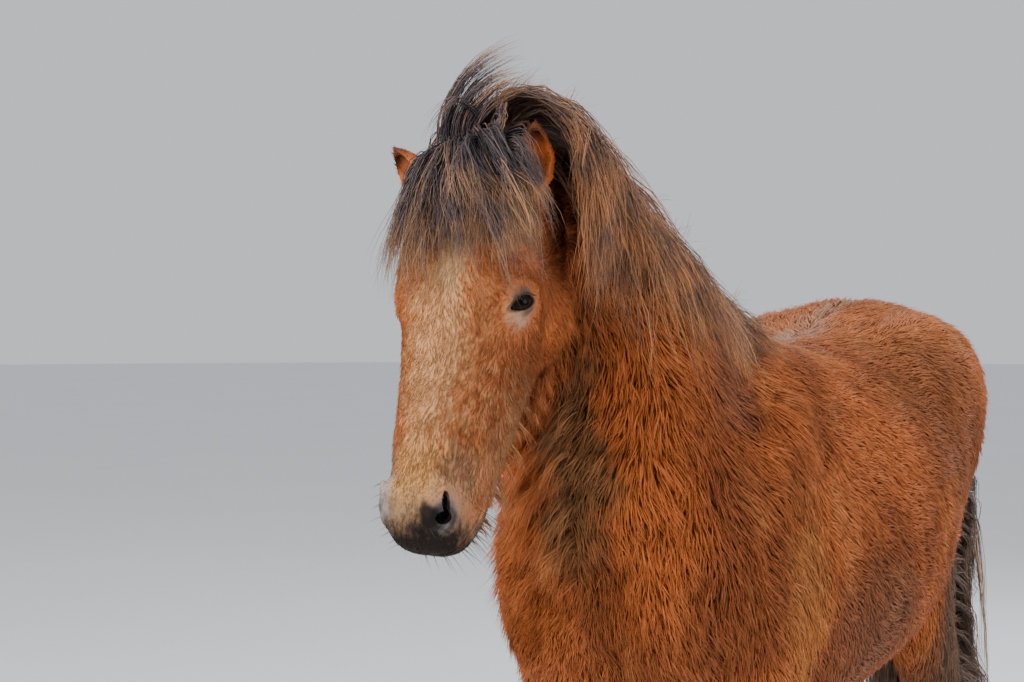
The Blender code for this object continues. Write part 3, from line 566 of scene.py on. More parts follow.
def mouth_line():
    """The blade that cuts the line of the closed mouth, from corner to corner round the lips."""
    half = [Vector(p) * HEAD for p in MOUTH]
    path = [Vector((p.x, p.y, -p.z)) for p in half[:-1]] + half[::-1]
    bm = bmesh.new()
    rings = []
    for k, point in enumerate(path):
        along = (path[min(k + 1, len(path) - 1)] - path[max(k - 1, 0)]).normalized()
        up = Vector((0, 1, 0))
        out = along.cross(up).normalized()
        if out.dot(point - Vector((0.45, point.y, 0))) < 0:
            out = -out
        thick = up * MOUTH_GAP / 2
        corners = (out * 0.012 + thick, out * 0.012 - thick, -out * 0.006 - thick, -out * 0.006 + thick)
        rings.append([point + c for c in corners])
    loft(bm, rings)
    bmesh.ops.transform(bm, verts=bm.verts, matrix=head_frame())
    return placed("mouth_line", bm)


def ear(side):
    """One ear: a pointed leaf with a deep cup that opens forward and out."""
    base = on_head(EAR_AT, side)
    rise, forward, apart = EAR_TILT[side]
    up = Vector((rise, forward, apart * side)).normalized()
    face = Vector((0.05, 0.80, 0.60 * side))
    face = (face - up * face.dot(up)).normalized()
    across = up.cross(face)
    shapes = []
    for rows in ([(*row, 0.0) for row in EAR_SHAPE], EAR_CUP):
        bm = bmesh.new()
        rings = []
        for share, half, deep, ahead in rows:
            middle = base + up * (share * EAR) - face * (0.10 * EAR * math.sin(math.pi * share))
            middle += face * (ahead * EAR)
            middle += EAR_TUCK[0] * max(0.0, 0.40 - share) * Vector((1, 0, 0))
            middle -= EAR_TUCK[1] * max(0.0, 0.40 - share) * Vector((0, 0, side))
            ring = []
            for k in range(10):
                angle = 2 * math.pi * k / 10
                ring.append(middle + (across * half * math.cos(angle) + face * deep * math.sin(angle)) * EAR)
            rings.append(ring)
        loft(bm, rings)
        bmesh.ops.transform(bm, verts=bm.verts, matrix=head_frame())
        shapes.append(placed("ear", bm))
    return boolean(shapes[0], shapes[1:], "DIFFERENCE")


def hoof(middle_x, middle_y):
    """One hoof below its coronet, its sole flat on the floor."""
    bm = bmesh.new()
    rings = []
    for height, half, front, back in HOOF:
        ring = []
        for k in range(20):
            angle = 2 * math.pi * k / 20
            c, s = math.cos(angle), math.sin(angle)
            reach = front if c > 0 else back
            y = middle_y - c * reach
            ring.append(Vector((middle_x + s * half, y, height + (0.35 * c * reach if height > 0.01 else 0))))
        rings.append(ring)
    loft(bm, rings)
    return placed("hoof", bm)


def tail_path():
    return [Vector(p) for p in smooth_rows(TAIL_CORE, 3)[:, :3]]


def tail_core():
    rows = smooth_rows(TAIL_CORE, 3)
    bm = bmesh.new()
    rings = []
    for k, (x, y, z, half, deep) in enumerate(rows):
        before, after = rows[max(k - 1, 0)], rows[min(k + 1, len(rows) - 1)]
        along = Vector(after[:3] - before[:3]).normalized()
        out = Vector((1, 0, 0)).cross(along).normalized()
        centre = Vector((x, y, z))
        ring = []
        for j in range(10):
            angle = 2 * math.pi * j / 10
            ring.append(centre + Vector((math.cos(angle) * half, 0, 0)) + out * math.sin(angle) * deep)
        rings.append(ring)
    loft(bm, rings)
    return placed("tail", bm)


def designed_to_frame():
    """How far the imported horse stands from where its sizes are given, read from its left eye."""
    low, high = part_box("eye_left")
    return (low + high) / 2 - head_frame() @ on_head(EYE_AT, 1)


def eye_spots():
    frame_of_head = head_frame()
    return [frame_of_head @ on_head(EYE_AT, side) for side in (1, -1)]


def bell(value, middle, width):
    """1 at the middle of a range, falling smoothly to 0 a few widths away."""
    return np.exp(-(((value - middle) / width) ** 2))


def ramp(value, start, end):
    """0 before start, 1 after end, and smooth between them."""
    t = np.clip((value - start) / (end - start), 0.0, 1.0)
    return t * t * (3 - 2 * t)


def ripples(points, scale, seed):
    """A smooth random value from -1 to 1 at each point, that changes over about `scale` metres."""
    draw = np.random.default_rng(seed)
    total = np.zeros(len(points))
    for _ in range(7):
        way = draw.normal(size=3)
        way /= np.linalg.norm(way)
        total += np.sin(points @ way * (2 * math.pi / (scale * draw.uniform(0.8, 1.9))) + draw.uniform(0, 6.28))
    return np.clip(total / 3.2, -1, 1)


def unit(vectors):
    return vectors / np.maximum(np.linalg.norm(vectors, axis=-1, keepdims=True), 1e-9)


def on_head_shares(points):
    """Each point in the head's own frame, in shares of HEAD: along the face, out of it, to the left."""
    turn = np.array(head_frame().inverted())
    return (points @ turn[:3, :3].T + turn[:3, 3]) / HEAD


def head_share(points):
    """1 on the head and 0 on the body."""
    along, out, _ = on_head_shares(points).T * HEAD
    return 1 - np.clip((-0.10 - out - 0.45 * along) / 0.08, 0.0, 1.0)


def ear_share(points):
    """1 on the ears and 0 elsewhere."""
    shares = on_head_shares(points)
    found = np.zeros(len(points))
    for side in (1, -1):
        base = np.array(EAR_AT) * (1, 1, side)
        rise, forward, apart = EAR_TILT[side]
        up = np.array((rise, forward, apart * side))
        up = up / np.linalg.norm(up)
        height = (shares - base) @ up * HEAD / EAR
        aside = np.linalg.norm(shares - base - ((shares - base) @ up)[:, None] * up, axis=1) * HEAD
        found = np.maximum(found, ramp(height, -0.05, 0.15) * (aside < 0.05))
    return found


def coat_sizes(points):
    """The coat at each point of the skin: tuft length, tuft width, lift in radians, tufts on a square metre."""
    x, y, z = points.T
    along, out, side = on_head_shares(points).T
    on_the_head = head_share(points)
    ears = ear_share(points)
    low_leg = ramp(z, 0.62, 0.34)
    breast = bell(y, -0.66, 0.16) * ramp(z, 0.60, 0.75)
    belly = ramp(z, 0.80, 0.66) * (1 - low_leg)
    neck = ramp(y, -0.25, -0.45) * ramp(z, 0.85, 1.0)
    throat = bell(y, -0.72, 0.10) * ramp(z, 0.95, 1.05) * ramp(z, 1.30, 1.20)

    length = bpy.context.scene.horse_sizes.coat + 0.012 * breast + 0.008 * belly + 0.004 * neck + 0.010 * throat
    length = length * (1 - low_leg) + 0.0135 * low_leg
    width = 0.0025 * (1 - low_leg) + 0.0017 * low_leg
    lift = 0.22 + 0.10 * breast + 0.05 * neck + 0.06 * throat
    lift = lift * (1 - low_leg) + 0.20 * low_leg
    density = 42500 + 5000 * breast + 4000 * neck - 9000 * belly + 10000 * low_leg

    cheek = ramp(np.abs(side), 0.09, 0.15) * ramp(out, -0.06, -0.20)
    jaw = ramp(out, -0.16 - 0.10 * ramp(along, 0.8, 0.4), -0.30 - 0.06 * ramp(along, 0.8, 0.4)) * ramp(along, 1.0, 0.82)
    muzzle = ramp(along, 0.76, 0.90)
    face_length = 0.0140 + 0.008 * cheek + 0.020 * jaw
    face_length = face_length * (1 - muzzle) + (0.0040 + 0.008 * jaw) * muzzle
    face_width = (0.0015 + 0.0004 * cheek + 0.0006 * jaw) * (1 - muzzle) + 0.0008 * muzzle
    face_lift = 0.21 + 0.14 * jaw
    face_density = (92000 - 26000 * jaw - 12000 * cheek) * (1 - muzzle) + 120000 * muzzle
    near_eye = np.zeros(len(points))
    for eye in eye_spots():
        near_eye = np.maximum(near_eye, ramp(np.linalg.norm(points - np.array(eye), axis=1), 0.055, 0.028))
    near_nostril = np.zeros(len(points))
    for way in (1, -1):
        gap = (np.stack([along, out, side], axis=1) - np.array(NOSTRIL_AT) * (1, 1, way)) * HEAD
        near_nostril = np.maximum(near_nostril, ramp(np.linalg.norm(gap, axis=1), 0.050, 0.030))
    face_length = face_length * (1 - 0.62 * near_eye) * (1 - 0.45 * near_nostril)
    face_width = face_width * (1 - 0.35 * near_eye)

    length = length * (1 - on_the_head) + face_length * on_the_head
    width = width * (1 - on_the_head) + face_width * on_the_head
    lift = lift * (1 - on_the_head) + face_lift * on_the_head
    density = density * (1 - on_the_head) + face_density * on_the_head
    length = length * (1 - ears) + 0.0085 * ears
    width = width * (1 - ears) + 0.0013 * ears
    density = density * (1 - ears) + 80000 * ears
    return length, width, lift, density


def skin_depth(points):
    """How far the skin lies under the outside of the coat."""
    length, _, lift, _ = coat_sizes(points)
    return length * np.sin(lift) * 0.95


def coat_flow(points, normals):
    """The way the hair points at each place of the skin, along the surface."""
    x, y, z = points.T
    along, out, side = on_head_shares(points).T
    away = np.sign(x)
    count = len(points)
    back = np.array((0.0, 1.0, 0.0))
    down = np.array((0.0, 0.0, -1.0))
    outward = np.stack([away, np.zeros(count), np.zeros(count)], axis=1)

    flow = 0.86 * back + np.outer(np.full(count, 0.50), down)
    top = ramp(z, 1.12, 1.30)[:, None]
    flow = flow * (1 - 0.4 * top) + top * (0.5 * back + 0.35 * outward + 0.15 * down)
    thigh = (ramp(y, 0.18, 0.42) * ramp(z, 1.16, 0.95))[:, None]
    flow = flow * (1 - thigh) + thigh * (0.30 * back + 0.95 * down)
    shoulder = ramp(y, -0.12, -0.36)[:, None]
    flow = flow * (1 - shoulder) + shoulder * (0.42 * back + 0.90 * down)
    neck = (ramp(y, -0.36, -0.52))[:, None]
    flow = flow * (1 - neck) + neck * (0.22 * back + 0.95 * down + 0.10 * outward)
    leg = ramp(z, 0.80, 0.60)[:, None]
    flow = flow * (1 - leg) + leg * down

    turn = np.array(head_frame())[:3, :3]
    face_x, face_y, face_z = turn[:, 0], turn[:, 1], turn[:, 2]
    above = ramp(along, 0.30, 0.20)
    cheek = ramp(out, -0.05, -0.22)
    fan = np.clip(side * 5.0, -1, 1) * (0.30 + 0.45 * bell(along, 0.30, 0.14))
    on_face = np.outer(1 - 1.6 * above - 0.25 * cheek, face_x) + np.outer(fan, face_z) - np.outer(0.85 * cheek, face_y)
    jaw = ramp(out, -0.26, -0.36)[:, None]
    on_face = on_face * (1 - jaw) + jaw * (0.55 * down + 0.45 * back)
    head = head_share(points)[:, None]
    flow = flow * (1 - head) + on_face * head
    ears = ear_share(points)
    for way in (1, -1):
        up = turn @ np.array(Vector(EAR_TILT[way]) * Vector((1, 1, way))).astype(float)
        mine = (ears * (side * way > 0))[:, None]
        flow = flow * (1 - mine) + mine * up / np.linalg.norm(up)
    for eye in eye_spots():
        gap = points - np.array(eye)
        far = np.linalg.norm(gap, axis=1)
        near = 0.9 * ramp(far, 0.060, 0.030)[:, None]
        flow = flow * (1 - near) + near * gap / far[:, None]
    flow = flow - normals * np.sum(flow * normals, axis=1)[:, None]
    return unit(flow)


def turned(flow, normals, angle):
    """Each direction turned about its normal."""
    across = np.cross(normals, flow)
    return flow * np.cos(angle)[:, None] + across * np.sin(angle)[:, None]


def settled(obj):
    """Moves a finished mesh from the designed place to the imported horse's."""
    obj.data.transform(Matrix.Translation(designed_to_frame()))
    return obj


def skin_mesh():
    """The whole body under its coat as one closed skin, with ears, dock, lids, nostrils and mouth."""
    bm = bmesh.new()
    skull(bm)
    bmesh.ops.transform(bm, verts=bm.verts, matrix=head_frame())
    trunk(bm)
    neck(bm)
    for side in (1, -1):
        leg(bm, FORELEG, side, STRIDE_FORE * side)
        leg(bm, HINDLEG, side, STRIDE_HIND * side)
    muscles(bm)
    skin = fused(placed("skin", bm), 7, 80, 42000, 76000)
    count = len(skin.data.vertices)
    points = np.empty(count * 3)
    skin.data.vertices.foreach_get("co", points)
    points = points.reshape(-1, 3)
    normals = np.empty(count * 3)
    skin.data.vertices.foreach_get("normal", normals)
    points -= normals.reshape(-1, 3) * skin_depth(points)[:, None]
    skin.data.vertices.foreach_set("co", points.ravel())
    added = [tail_core()]
    hollows = [mouth_line()]
    for side in (1, -1):
        added += [ear(side), eyeball(side, 0.0028), lids(side), *nostril(side, 0.0042, 0.0090)]
        hollows += [eyeball(side, GAP), eye_opening(side), *nostril(side, 0.0, 0.0170)]
    boolean(skin, added, "UNION")
    boolean(skin, hollows, "DIFFERENCE")
    return softened(skin)


def softened(skin):
    """Rounds the creases round the nostrils, the mouth, the lids and the roots of the ears."""
    count = len(skin.data.vertices)
    points = np.empty(count * 3)
    skin.data.vertices.foreach_get("co", points)
    points = points.reshape(-1, 3)
    shares = on_head_shares(points)
    near = np.zeros(count)
    for side in (1, -1):
        for centre, reach in ((NOSTRIL_AT, 0.080), (EAR_AT, 0.075)):
            far = np.linalg.norm(shares - np.array(centre) * (1, 1, side), axis=1)
            near = np.maximum(near, ramp(far, reach, reach * 0.6))
        far = np.linalg.norm(shares - np.array(EYE_AT) * (1, 1, side), axis=1)
        near = np.maximum(near, ramp(far, 0.075, 0.060) * ramp(far, 0.040, 0.046))
    near = np.maximum(near, 0.8 * mouth_share(points, 0.010))
    soft = skin.vertex_groups.new(name="soft")
    for k in np.flatnonzero(near > 0.02):
        soft.add([int(k)], float(near[k]), "REPLACE")
    step = skin.modifiers.new("soften", "SMOOTH")
    step.factor = 0.5
    step.iterations = 4
    step.vertex_group = "soft"
    return applied(skin)


def mouth_share(points, reach, above=0.0):
    """1 on the line of the mouth, or on one `above` it in shares of the head, falling to 0 at `reach` metres from it."""
    shares = on_head_shares(points)
    found = np.zeros(len(points))
    close = np.flatnonzero((shares[:, 0] > 0.79) & (np.abs(shares[:, 2]) < 0.15))
    for place in smooth_rows(MOUTH, 8):
        for side in (1, -1):
            far = np.linalg.norm(shares[close] - (place + (0, above, 0)) * (1, 1, side), axis=1) * HEAD
            found[close] = np.maximum(found[close], ramp(far, reach, 0.0))
    return found


def nostril(side, grow, depth):
    """A nostril's two overlapping forms, a narrow upper end and a wide basin below it."""
    out = Vector((0.30, 0.42, 0.86 * side)).normalized()
    long_way = Vector((0.90, -0.42, -0.10 * side))
    long_way = (long_way - out * long_way.dot(out)).normalized()
    turn = Matrix((long_way, out.cross(long_way), out)).transposed().to_4x4()
    found = []
    for place, radii in NOSTRIL_FORMS:
        bm = bmesh.new()
        middle = on_head(NOSTRIL_AT, side) + long_way * place[0] + out.cross(long_way) * place[1] * side
        ball(bm, middle, (radii[0] + grow, radii[1] + grow, depth), turn, 4)
        bmesh.ops.transform(bm, verts=bm.verts, matrix=head_frame())
        found.append(placed("nostril", bm))
    return found


def inside_nostrils(points):
    """1 on the walls inside the nostrils, where their painted shade goes, and 0 elsewhere."""
    shares = on_head_shares(points)
    found = np.zeros(len(points))
    for side in (1, -1):
        gap = (shares - np.array(NOSTRIL_AT) * (1, 1, side)) * HEAD
        out = unit(np.array((0.30, 0.42, 0.86 * side)))
        long_way = np.array((0.90, -0.42, -0.10 * side))
        long_way = unit(long_way - out * (long_way @ out))
        across = np.cross(out, long_way) * side
        for place, radii in NOSTRIL_FORMS:
            u = (gap @ long_way - place[0]) / (radii[0] + 0.001)
            v = (gap @ across - place[1]) / (radii[1] + 0.001)
            deep = -(gap @ out)
            found = np.maximum(found, ramp(deep, 0.0, 0.005) * (deep < 0.022) * (u * u + v * v < 1))
    return found


def unwrapped(obj):
    """Gives the object the map that its finish is baked to."""
    bpy.context.view_layer.objects.active = obj
    for other in bpy.context.selected_objects:
        other.select_set(False)
    obj.select_set(True)
    while obj.data.uv_layers:
        obj.data.uv_layers.remove(obj.data.uv_layers[0])
    obj.data.uv_layers.new(name="OFBake")
    bpy.ops.object.mode_set(mode="EDIT")
    bpy.ops.mesh.select_all(action="SELECT")
    bpy.ops.uv.smart_project(angle_limit=math.radians(66), island_margin=0.001)
    bpy.ops.object.mode_set(mode="OBJECT")


class Ground:
    """The skin that hair grows from, back at its designed place: its triangles, normals and map."""

    def __init__(self, obj):
        mesh = obj.data
        mesh.calc_loop_triangles()
        count = len(mesh.loop_triangles)
        self.points = np.empty(len(mesh.vertices) * 3)
        mesh.vertices.foreach_get("co", self.points)
        self.points = self.points.reshape(-1, 3) - np.array(designed_to_frame())
        normals = np.empty(len(mesh.vertices) * 3)
        mesh.vertices.foreach_get("normal", normals)
        self.normals = normals.reshape(-1, 3)
        corners = np.empty(count * 3, dtype=np.int64)
        mesh.loop_triangles.foreach_get("vertices", corners)
        self.corners = corners.reshape(-1, 3)
        loops = np.empty(count * 3, dtype=np.int64)
        mesh.loop_triangles.foreach_get("loops", loops)
        uv = np.empty(len(mesh.loops) * 2)
        mesh.uv_layers["OFBake"].data.foreach_get("uv", uv)
        self.uv = uv.reshape(-1, 2)[loops.reshape(-1, 3)]
        a, b, c = (self.points[self.corners[:, k]] for k in range(3))
        self.area = np.linalg.norm(np.cross(b - a, c - a), axis=1) / 2
        self.middles = (a + b + c) / 3
        places = [Vector(p) for p in self.points]
        self.tree = BVHTree.FromPolygons(places, self.corners.tolist())
        off_ears = ear_share(self.middles) < 0.2
        self.earless = BVHTree.FromPolygons(places, self.corners[off_ears].tolist())

    def sown(self, density, draw):
        """Roots scattered over the skin: place, normal and place on the map."""
        wanted = self.area * density
        count = np.floor(wanted + draw.random(len(wanted))).astype(int)
        which = np.repeat(np.arange(len(count)), count)
        u, v = draw.random(len(which)), draw.random(len(which))
        flip = u + v > 1
        u[flip], v[flip] = 1 - u[flip], 1 - v[flip]
        share = np.stack([1 - u - v, u, v], axis=1)[:, :, None]
        roots = (self.points[self.corners[which]] * share).sum(axis=1)
        normals = unit((self.normals[self.corners[which]] * share).sum(axis=1))
        return roots, normals, (self.uv[which] * share).sum(axis=1)

    def map_at(self, point):
        """The place on the map that is nearest a point."""
        _, _, face, _ = self.tree.find_nearest(Vector(point))
        return self.uv[face].mean(axis=0)


def joined_mesh(name, points, faces, uv, values):
    """One mesh object of many small closed forms, with its map and a value per point under each name."""
    mesh = bpy.data.meshes.new(name)
    sides = faces.shape[1]
    mesh.vertices.add(len(points))
    mesh.vertices.foreach_set("co", points.ravel())
    mesh.loops.add(faces.size)
    mesh.loops.foreach_set("vertex_index", faces.ravel().astype(np.int32))
    mesh.polygons.add(len(faces))
    mesh.polygons.foreach_set("loop_start", np.arange(0, faces.size, sides, dtype=np.int32))
    mesh.update(calc_edges=True)
    layer = mesh.uv_layers.new(name="OFBake")
    layer.data.foreach_set("uv", uv[faces.ravel()].ravel())
    for key, value in values.items():
        mesh.attributes.new(key, "FLOAT", "POINT").data.foreach_set("value", value.ravel())
    mesh.shade_smooth()
    obj = bpy.data.objects.new(name, mesh)
    bpy.context.scene.collection.objects.link(obj)
    return obj


TUFT_FACES = np.array(((0, 2, 1), (0, 3, 2), (0, 1, 3), (4, 1, 2), (4, 2, 3), (4, 3, 1)))
SHORT_TUFT_FACES = np.array(((2, 1, 0), (0, 1, 3), (1, 2, 3), (2, 0, 3)))
PATCH = 0.0015


def tufts(name, roots, normals, uv, draw, short=False):
    """Solid tufts that lie along the body. Each starts under the skin and ends in a point. A long one is bent and widest
    before its middle, and a short one is straight and widest at its root."""
    count = len(roots)
    length, width, lift, _ = coat_sizes(roots)
    flow = coat_flow(roots, normals)
    wave = 0.34 * ripples(roots, 0.11, 3) + 0.30 * ripples(roots, 0.034, 4) + draw.normal(0, 0.16, count)
    flow = turned(flow, normals, wave)
    clump = ripples(roots, 0.020, 5)
    length = length * (1 + 0.16 * clump) * draw.uniform(0.72, 1.22, count)
    width = width * draw.uniform(0.75, 1.25, count)
    lift = lift * (1 + 0.35 * ripples(roots, 0.028, 6)) * draw.uniform(0.65, 1.45, count)
    across = np.cross(flow, normals)
    first, last = lift + 0.17, lift - 0.13

    def way(angle):
        return flow * np.cos(angle)[:, None] + normals * np.sin(angle)[:, None]

    length = length[:, None]
    half = across * (width / 2)[:, None]
    middle = roots + way(first) * length * 0.42
    ridge = np.cross(across, way(first)) * (width * 0.42)[:, None]
    tip = middle + way(last) * length * 0.58 + across * (draw.normal(0, 0.0022, count))[:, None]
    base = roots - normals * 0.0022 - flow * 0.001
    if short:
        points = np.stack([base - half, base + ridge + normals * 0.0014, base + half, tip], axis=1)
        kind = SHORT_TUFT_FACES
        u, v = np.array((-PATCH, 0.0, PATCH, 0.0)), np.array((-PATCH, -0.0005, -PATCH, PATCH))
        tipward = np.array((0.1, 0.1, 0.1, 1.0))
    else:
        points = np.stack([base, middle - half, middle + ridge, middle + half, tip], axis=1)
        kind = TUFT_FACES
        u, v = np.array((0.0, -PATCH, 0.0, PATCH, 0.0)), np.array((-PATCH, 0.0, 0.0005, 0.0, PATCH))
        tipward = np.array((0.0, 0.45, 0.45, 0.45, 1.0))
    corners = points.shape[1]
    faces = kind[None] + (np.arange(count) * corners)[:, None, None]
    on_map = uv[:, None, :] + np.stack([u, v], axis=1)[None]
    shade = np.clip(0.5 + 0.26 * ripples(roots, 0.016, 8) + 0.14 * ripples(roots, 0.05, 9) + draw.normal(0, 0.17, count), 0, 1)
    values = {"shade": np.repeat(shade, corners), "tipward": np.tile(tipward, count)}
    return joined_mesh(name, points.reshape(-1, 3), faces.reshape(-1, 3), on_map.reshape(-1, 2), values)


def strands(name, paths, normals, widths, uv, shades):
    """Solid strands, each a tapered blade along its path, from arrays of strands by points by 3."""
    count, steps, _ = paths.shape
    along = np.gradient(paths, axis=1)
    along = unit(along)
    across = unit(np.cross(along, normals))
    up = np.cross(across, along)
    half = across * (widths / 2)[:, :, None]
    ridge = up * (widths * 0.45)[:, :, None]
    rings = np.stack([paths - half, paths + ridge, paths + half], axis=2)[:, :-1]
    per_strand = (steps - 1) * 3 + 1
    points = np.concatenate([rings.reshape(count, -1, 3), paths[:, -1:]], axis=1)
    faces = [(2, 1, 0)]
    for k in range(steps - 2):
        for j in range(3):
            a, b = 3 * k + j, 3 * k + (j + 1) % 3
            faces += [(a, b, b + 3), (a, b + 3, a + 3)]
    last = 3 * (steps - 2)
    for j in range(3):
        faces.append((last + j, last + (j + 1) % 3, per_strand - 1))
    faces = np.array(faces)[None] + (np.arange(count) * per_strand)[:, None, None]
    share = np.repeat(np.linspace(0, 1, steps), 3)[: per_strand - 1]
    tipward = np.append(share, 1.0)
    u = np.append(np.tile(np.array((-PATCH, 0.0, PATCH)), steps - 1), 0.0)
    on_map = uv[:, None, :] + np.stack([u, (tipward * 2 - 1) * PATCH], axis=1)[None]
    values = {"shade": np.repeat(shades, per_strand), "tipward": np.tile(tipward, count)}
    return joined_mesh(name, points.reshape(-1, 3), faces.reshape(-1, 3), on_map.reshape(-1, 2), values)


def guide(lie, root, first, pull, length, high=None, steps=8, bend=0.35, clear=0.004, wave=0.0, sunk=0.010):
    """The path of one lock: it leaves its root along `first`, turns to `pull` and keeps clear of the skin."""
    near, normal, _, _ = lie.find_nearest(Vector(root))
    course = Vector(first).normalized()
    pull = Vector(pull).normalized()
    points = [near - normal * sunk]
    normals = [normal.copy()]
    at = near + normal * 0.002
    step = length / steps
    for k in range(steps):
        if k:
            course = (course * (1 - bend) + pull * bend).normalized()
        at = at + course * step
        near, normal, _, _ = lie.find_nearest(at)
        height = (at - near).dot(normal)
        if height < clear and (at - near).length < 0.12:
            at = near + normal * clear
        elif high and (at - near).length > high:
            at = near + (at - near).normalized() * high
        sway = course.cross(normal)
        if sway.length > 1e-4 and wave:
            at = at + sway.normalized() * wave * math.sin(1.7 * k + length * 90)
        course = (at - points[-1]).normalized()
        points.append(at.copy())
        normals.append(normal.copy())
    return np.array(points), np.array(normals)


def combed(ground, guides, per_guide, width, draw, fray=0.004, gather=0.35, curl=0.0):
    """Strands round each guide, spread at its root, gathered and frayed towards its tip. Each guide is a path, its
    normals and the half width of its lock."""
    all_paths, all_normals, all_uv, all_widths, all_shades = [], [], [], [], []
    for path, normals, reach in guides:
        steps = len(path)
        share = np.linspace(0, 1, steps)
        along = unit(np.gradient(path, axis=0))
        across = unit(np.cross(along, normals))
        up = np.cross(across, along)
        lock_shade = draw.uniform(0.15, 0.85)
        for _ in range(per_guide):
            aside = draw.uniform(-1, 1) * reach
            above = abs(draw.normal(0, 0.35)) * reach
            taper = 1 - (1 - gather) * share
            phase, turns = draw.uniform(0, 6.28), draw.uniform(5, 9)
            sway = (curl + fray * 0.5) * np.sin(phase + turns * share) * share
            lift = (curl + fray * 0.4) * np.cos(phase * 1.7 + turns * 0.9 * share) * share
            drift_a, drift_b = draw.normal(0, fray, 2)
            offset = across * (aside * taper + sway + drift_a * share**2)[:, None]
            offset = offset + up * (above * taper * np.minimum(1, share * 5) + np.maximum(lift + drift_b * share**2, -0.002))[:, None]
            one = path + offset
            kept = draw.uniform(0.72, 1.0)
            at = share * kept * (steps - 1)
            low = np.minimum(at.astype(int), steps - 2)
            mix = (at - low)[:, None]
            all_paths.append(one[low] * (1 - mix) + one[low + 1] * mix)
            all_normals.append(normals[low])
            thick = width * draw.uniform(0.7, 1.3)
            all_widths.append(thick * np.clip(1.05 - share**1.5, 0.12, 1) * np.minimum(1, 0.5 + share * 4))
            all_shades.append(np.clip(lock_shade + draw.normal(0, 0.22), 0, 1))
            all_uv.append(path[0])
    uv = []
    known = {}
    for place in all_uv:
        key = tuple(np.round(place, 4))
        if key not in known:
            known[key] = ground.map_at(place)
        uv.append(known[key])
    return (
        np.array(all_paths),
        np.array(all_normals),
        np.array(all_widths),
        np.array(uv),
        np.array(all_shades),
    )


def bare_places(points):
    """True where no hair grows: eyes, nostrils, the line of the mouth, under the hooves' edge and under the tail."""
    along, out, side = on_head_shares(points).T
    bare = np.zeros(len(points), dtype=bool)
    for eye in eye_spots():
        bare |= np.linalg.norm(points - np.array(eye), axis=1) < EYE + 0.0056
    for way in (1, -1):
        gap = (np.stack([along, out, side], axis=1) - np.array(NOSTRIL_AT) * (1, 1, way)) * HEAD
        bare |= np.linalg.norm(gap / (0.027, 0.018, 0.017), axis=1) < 1
    bare |= (mouth_share(points, 0.0070) > 0.25) | (mouth_share(points, 0.0060, 0.011) > 0.3)
    x, y, z = points.T
    for foot_x, foot_y in feet():
        near = (np.abs(x - foot_x) < 0.09) & (np.abs(y - foot_y) < 0.12)
        bare |= near & (z < CORONET + 0.006 - 0.35 * (y - foot_y))
    bare |= (np.abs(x) < 0.036) & (y > 0.705) & (z < 1.15)
    return bare


def feet():
    """The middle of each hoof on the floor."""
    found = []
    for x, coronet, stride in ((0.140, -0.535, STRIDE_FORE), (0.145, 0.540, STRIDE_HIND)):
        for side in (1, -1):
            found.append((side * x, coronet - side * stride * (1 - 0.05 / 1.1)))
    return found


COAT_REGIONS = ("ears", "face", "forelegs", "hindlegs", "neck", "shoulders", "barrel", "quarters")


def regions(roots):
    """Which part of the coat each root belongs to, as a place in COAT_REGIONS."""
    y, z = roots[:, 1], roots[:, 2]
    low = z < 0.62
    cases = [ear_share(roots) > 0.3, head_share(roots) > 0.5, low & (y < 0), low, y < -0.42, y < -0.02, y < 0.32]
    return np.select(cases, range(7), 7)


def along_crest(place):
    """A point on the crest of the neck, from 0 at the withers to 1 at the poll."""
    rows = neck_rows()
    at = place * (len(rows) - 1)
    low = int(at)
    return rows[low][0].lerp(rows[min(low + 1, len(rows) - 1)][0], at - low)


def mane_guides(lie, draw):
    """The mane: it rises from the crest and falls, most of it on the left and some on the right."""
    found = []
    for side, count, longest, last in ((1, 140, 1.42, 1.0), (-1, 44, 0.90, 0.90)):
        for k in range(count):
            place = 0.08 + (last - 0.08) * (k + 0.5) / count
            root = along_crest(place) + Vector((side * 0.006 + draw.uniform(-0.014, 0.014), draw.uniform(-0.012, 0.012), 0))
            sweep = min(1.0, 0.15 + 1.3 * place)
            length = MANE * longest * min(1.0, 0.26 + 1.4 * place) * (1.08 - 0.12 * place) * draw.uniform(0.66, 1.10)
            first = (side * sweep * draw.uniform(0.15, 0.80), sweep * draw.uniform(-0.1, 0.5), 0.35 + 0.65 * sweep)
            pull = (side * draw.uniform(0.10, 0.34), sweep * draw.uniform(-0.08, 0.32), -1.0)
            high = (draw.uniform(0.024, 0.060) + 0.040 * place * draw.uniform(0.2, 1.0)) * (0.4 + 0.6 * sweep)
            shape = (length, high, 8, draw.uniform(0.24, 0.42), 0.013, draw.uniform(-0.017, 0.017), 0.008)
            found.append((*guide(lie, root, first, pull, *shape), draw.uniform(0.010, 0.019)))
    return found


def crest_guides(lie, draw):
    """The short curly hair that stands along the crest and leans back in the wind."""
    found = []
    for k in range(150):
        place = 0.08 + 0.90 * (k + 0.5) / 150
        root = along_crest(place) + Vector((draw.uniform(-0.024, 0.024), draw.uniform(-0.012, 0.012), 0))
        sweep = min(1.0, 0.15 + 1.2 * place)
        first = (draw.uniform(-0.45, 0.60), sweep * draw.uniform(-0.2, 0.5), 1.0)
        pull = (draw.uniform(-0.3, 0.9), sweep * draw.uniform(0.1, 0.9), draw.uniform(-0.9, 0.3))
        length = MANE * draw.uniform(0.28, 0.52) * min(1.0, 0.45 + 0.9 * place)
        shape = (length, 0.110, 7, draw.uniform(0.12, 0.26), 0.008, draw.uniform(-0.006, 0.006), 0.006)
        found.append((*guide(lie, root, first, pull, *shape), 0.012))
    return found


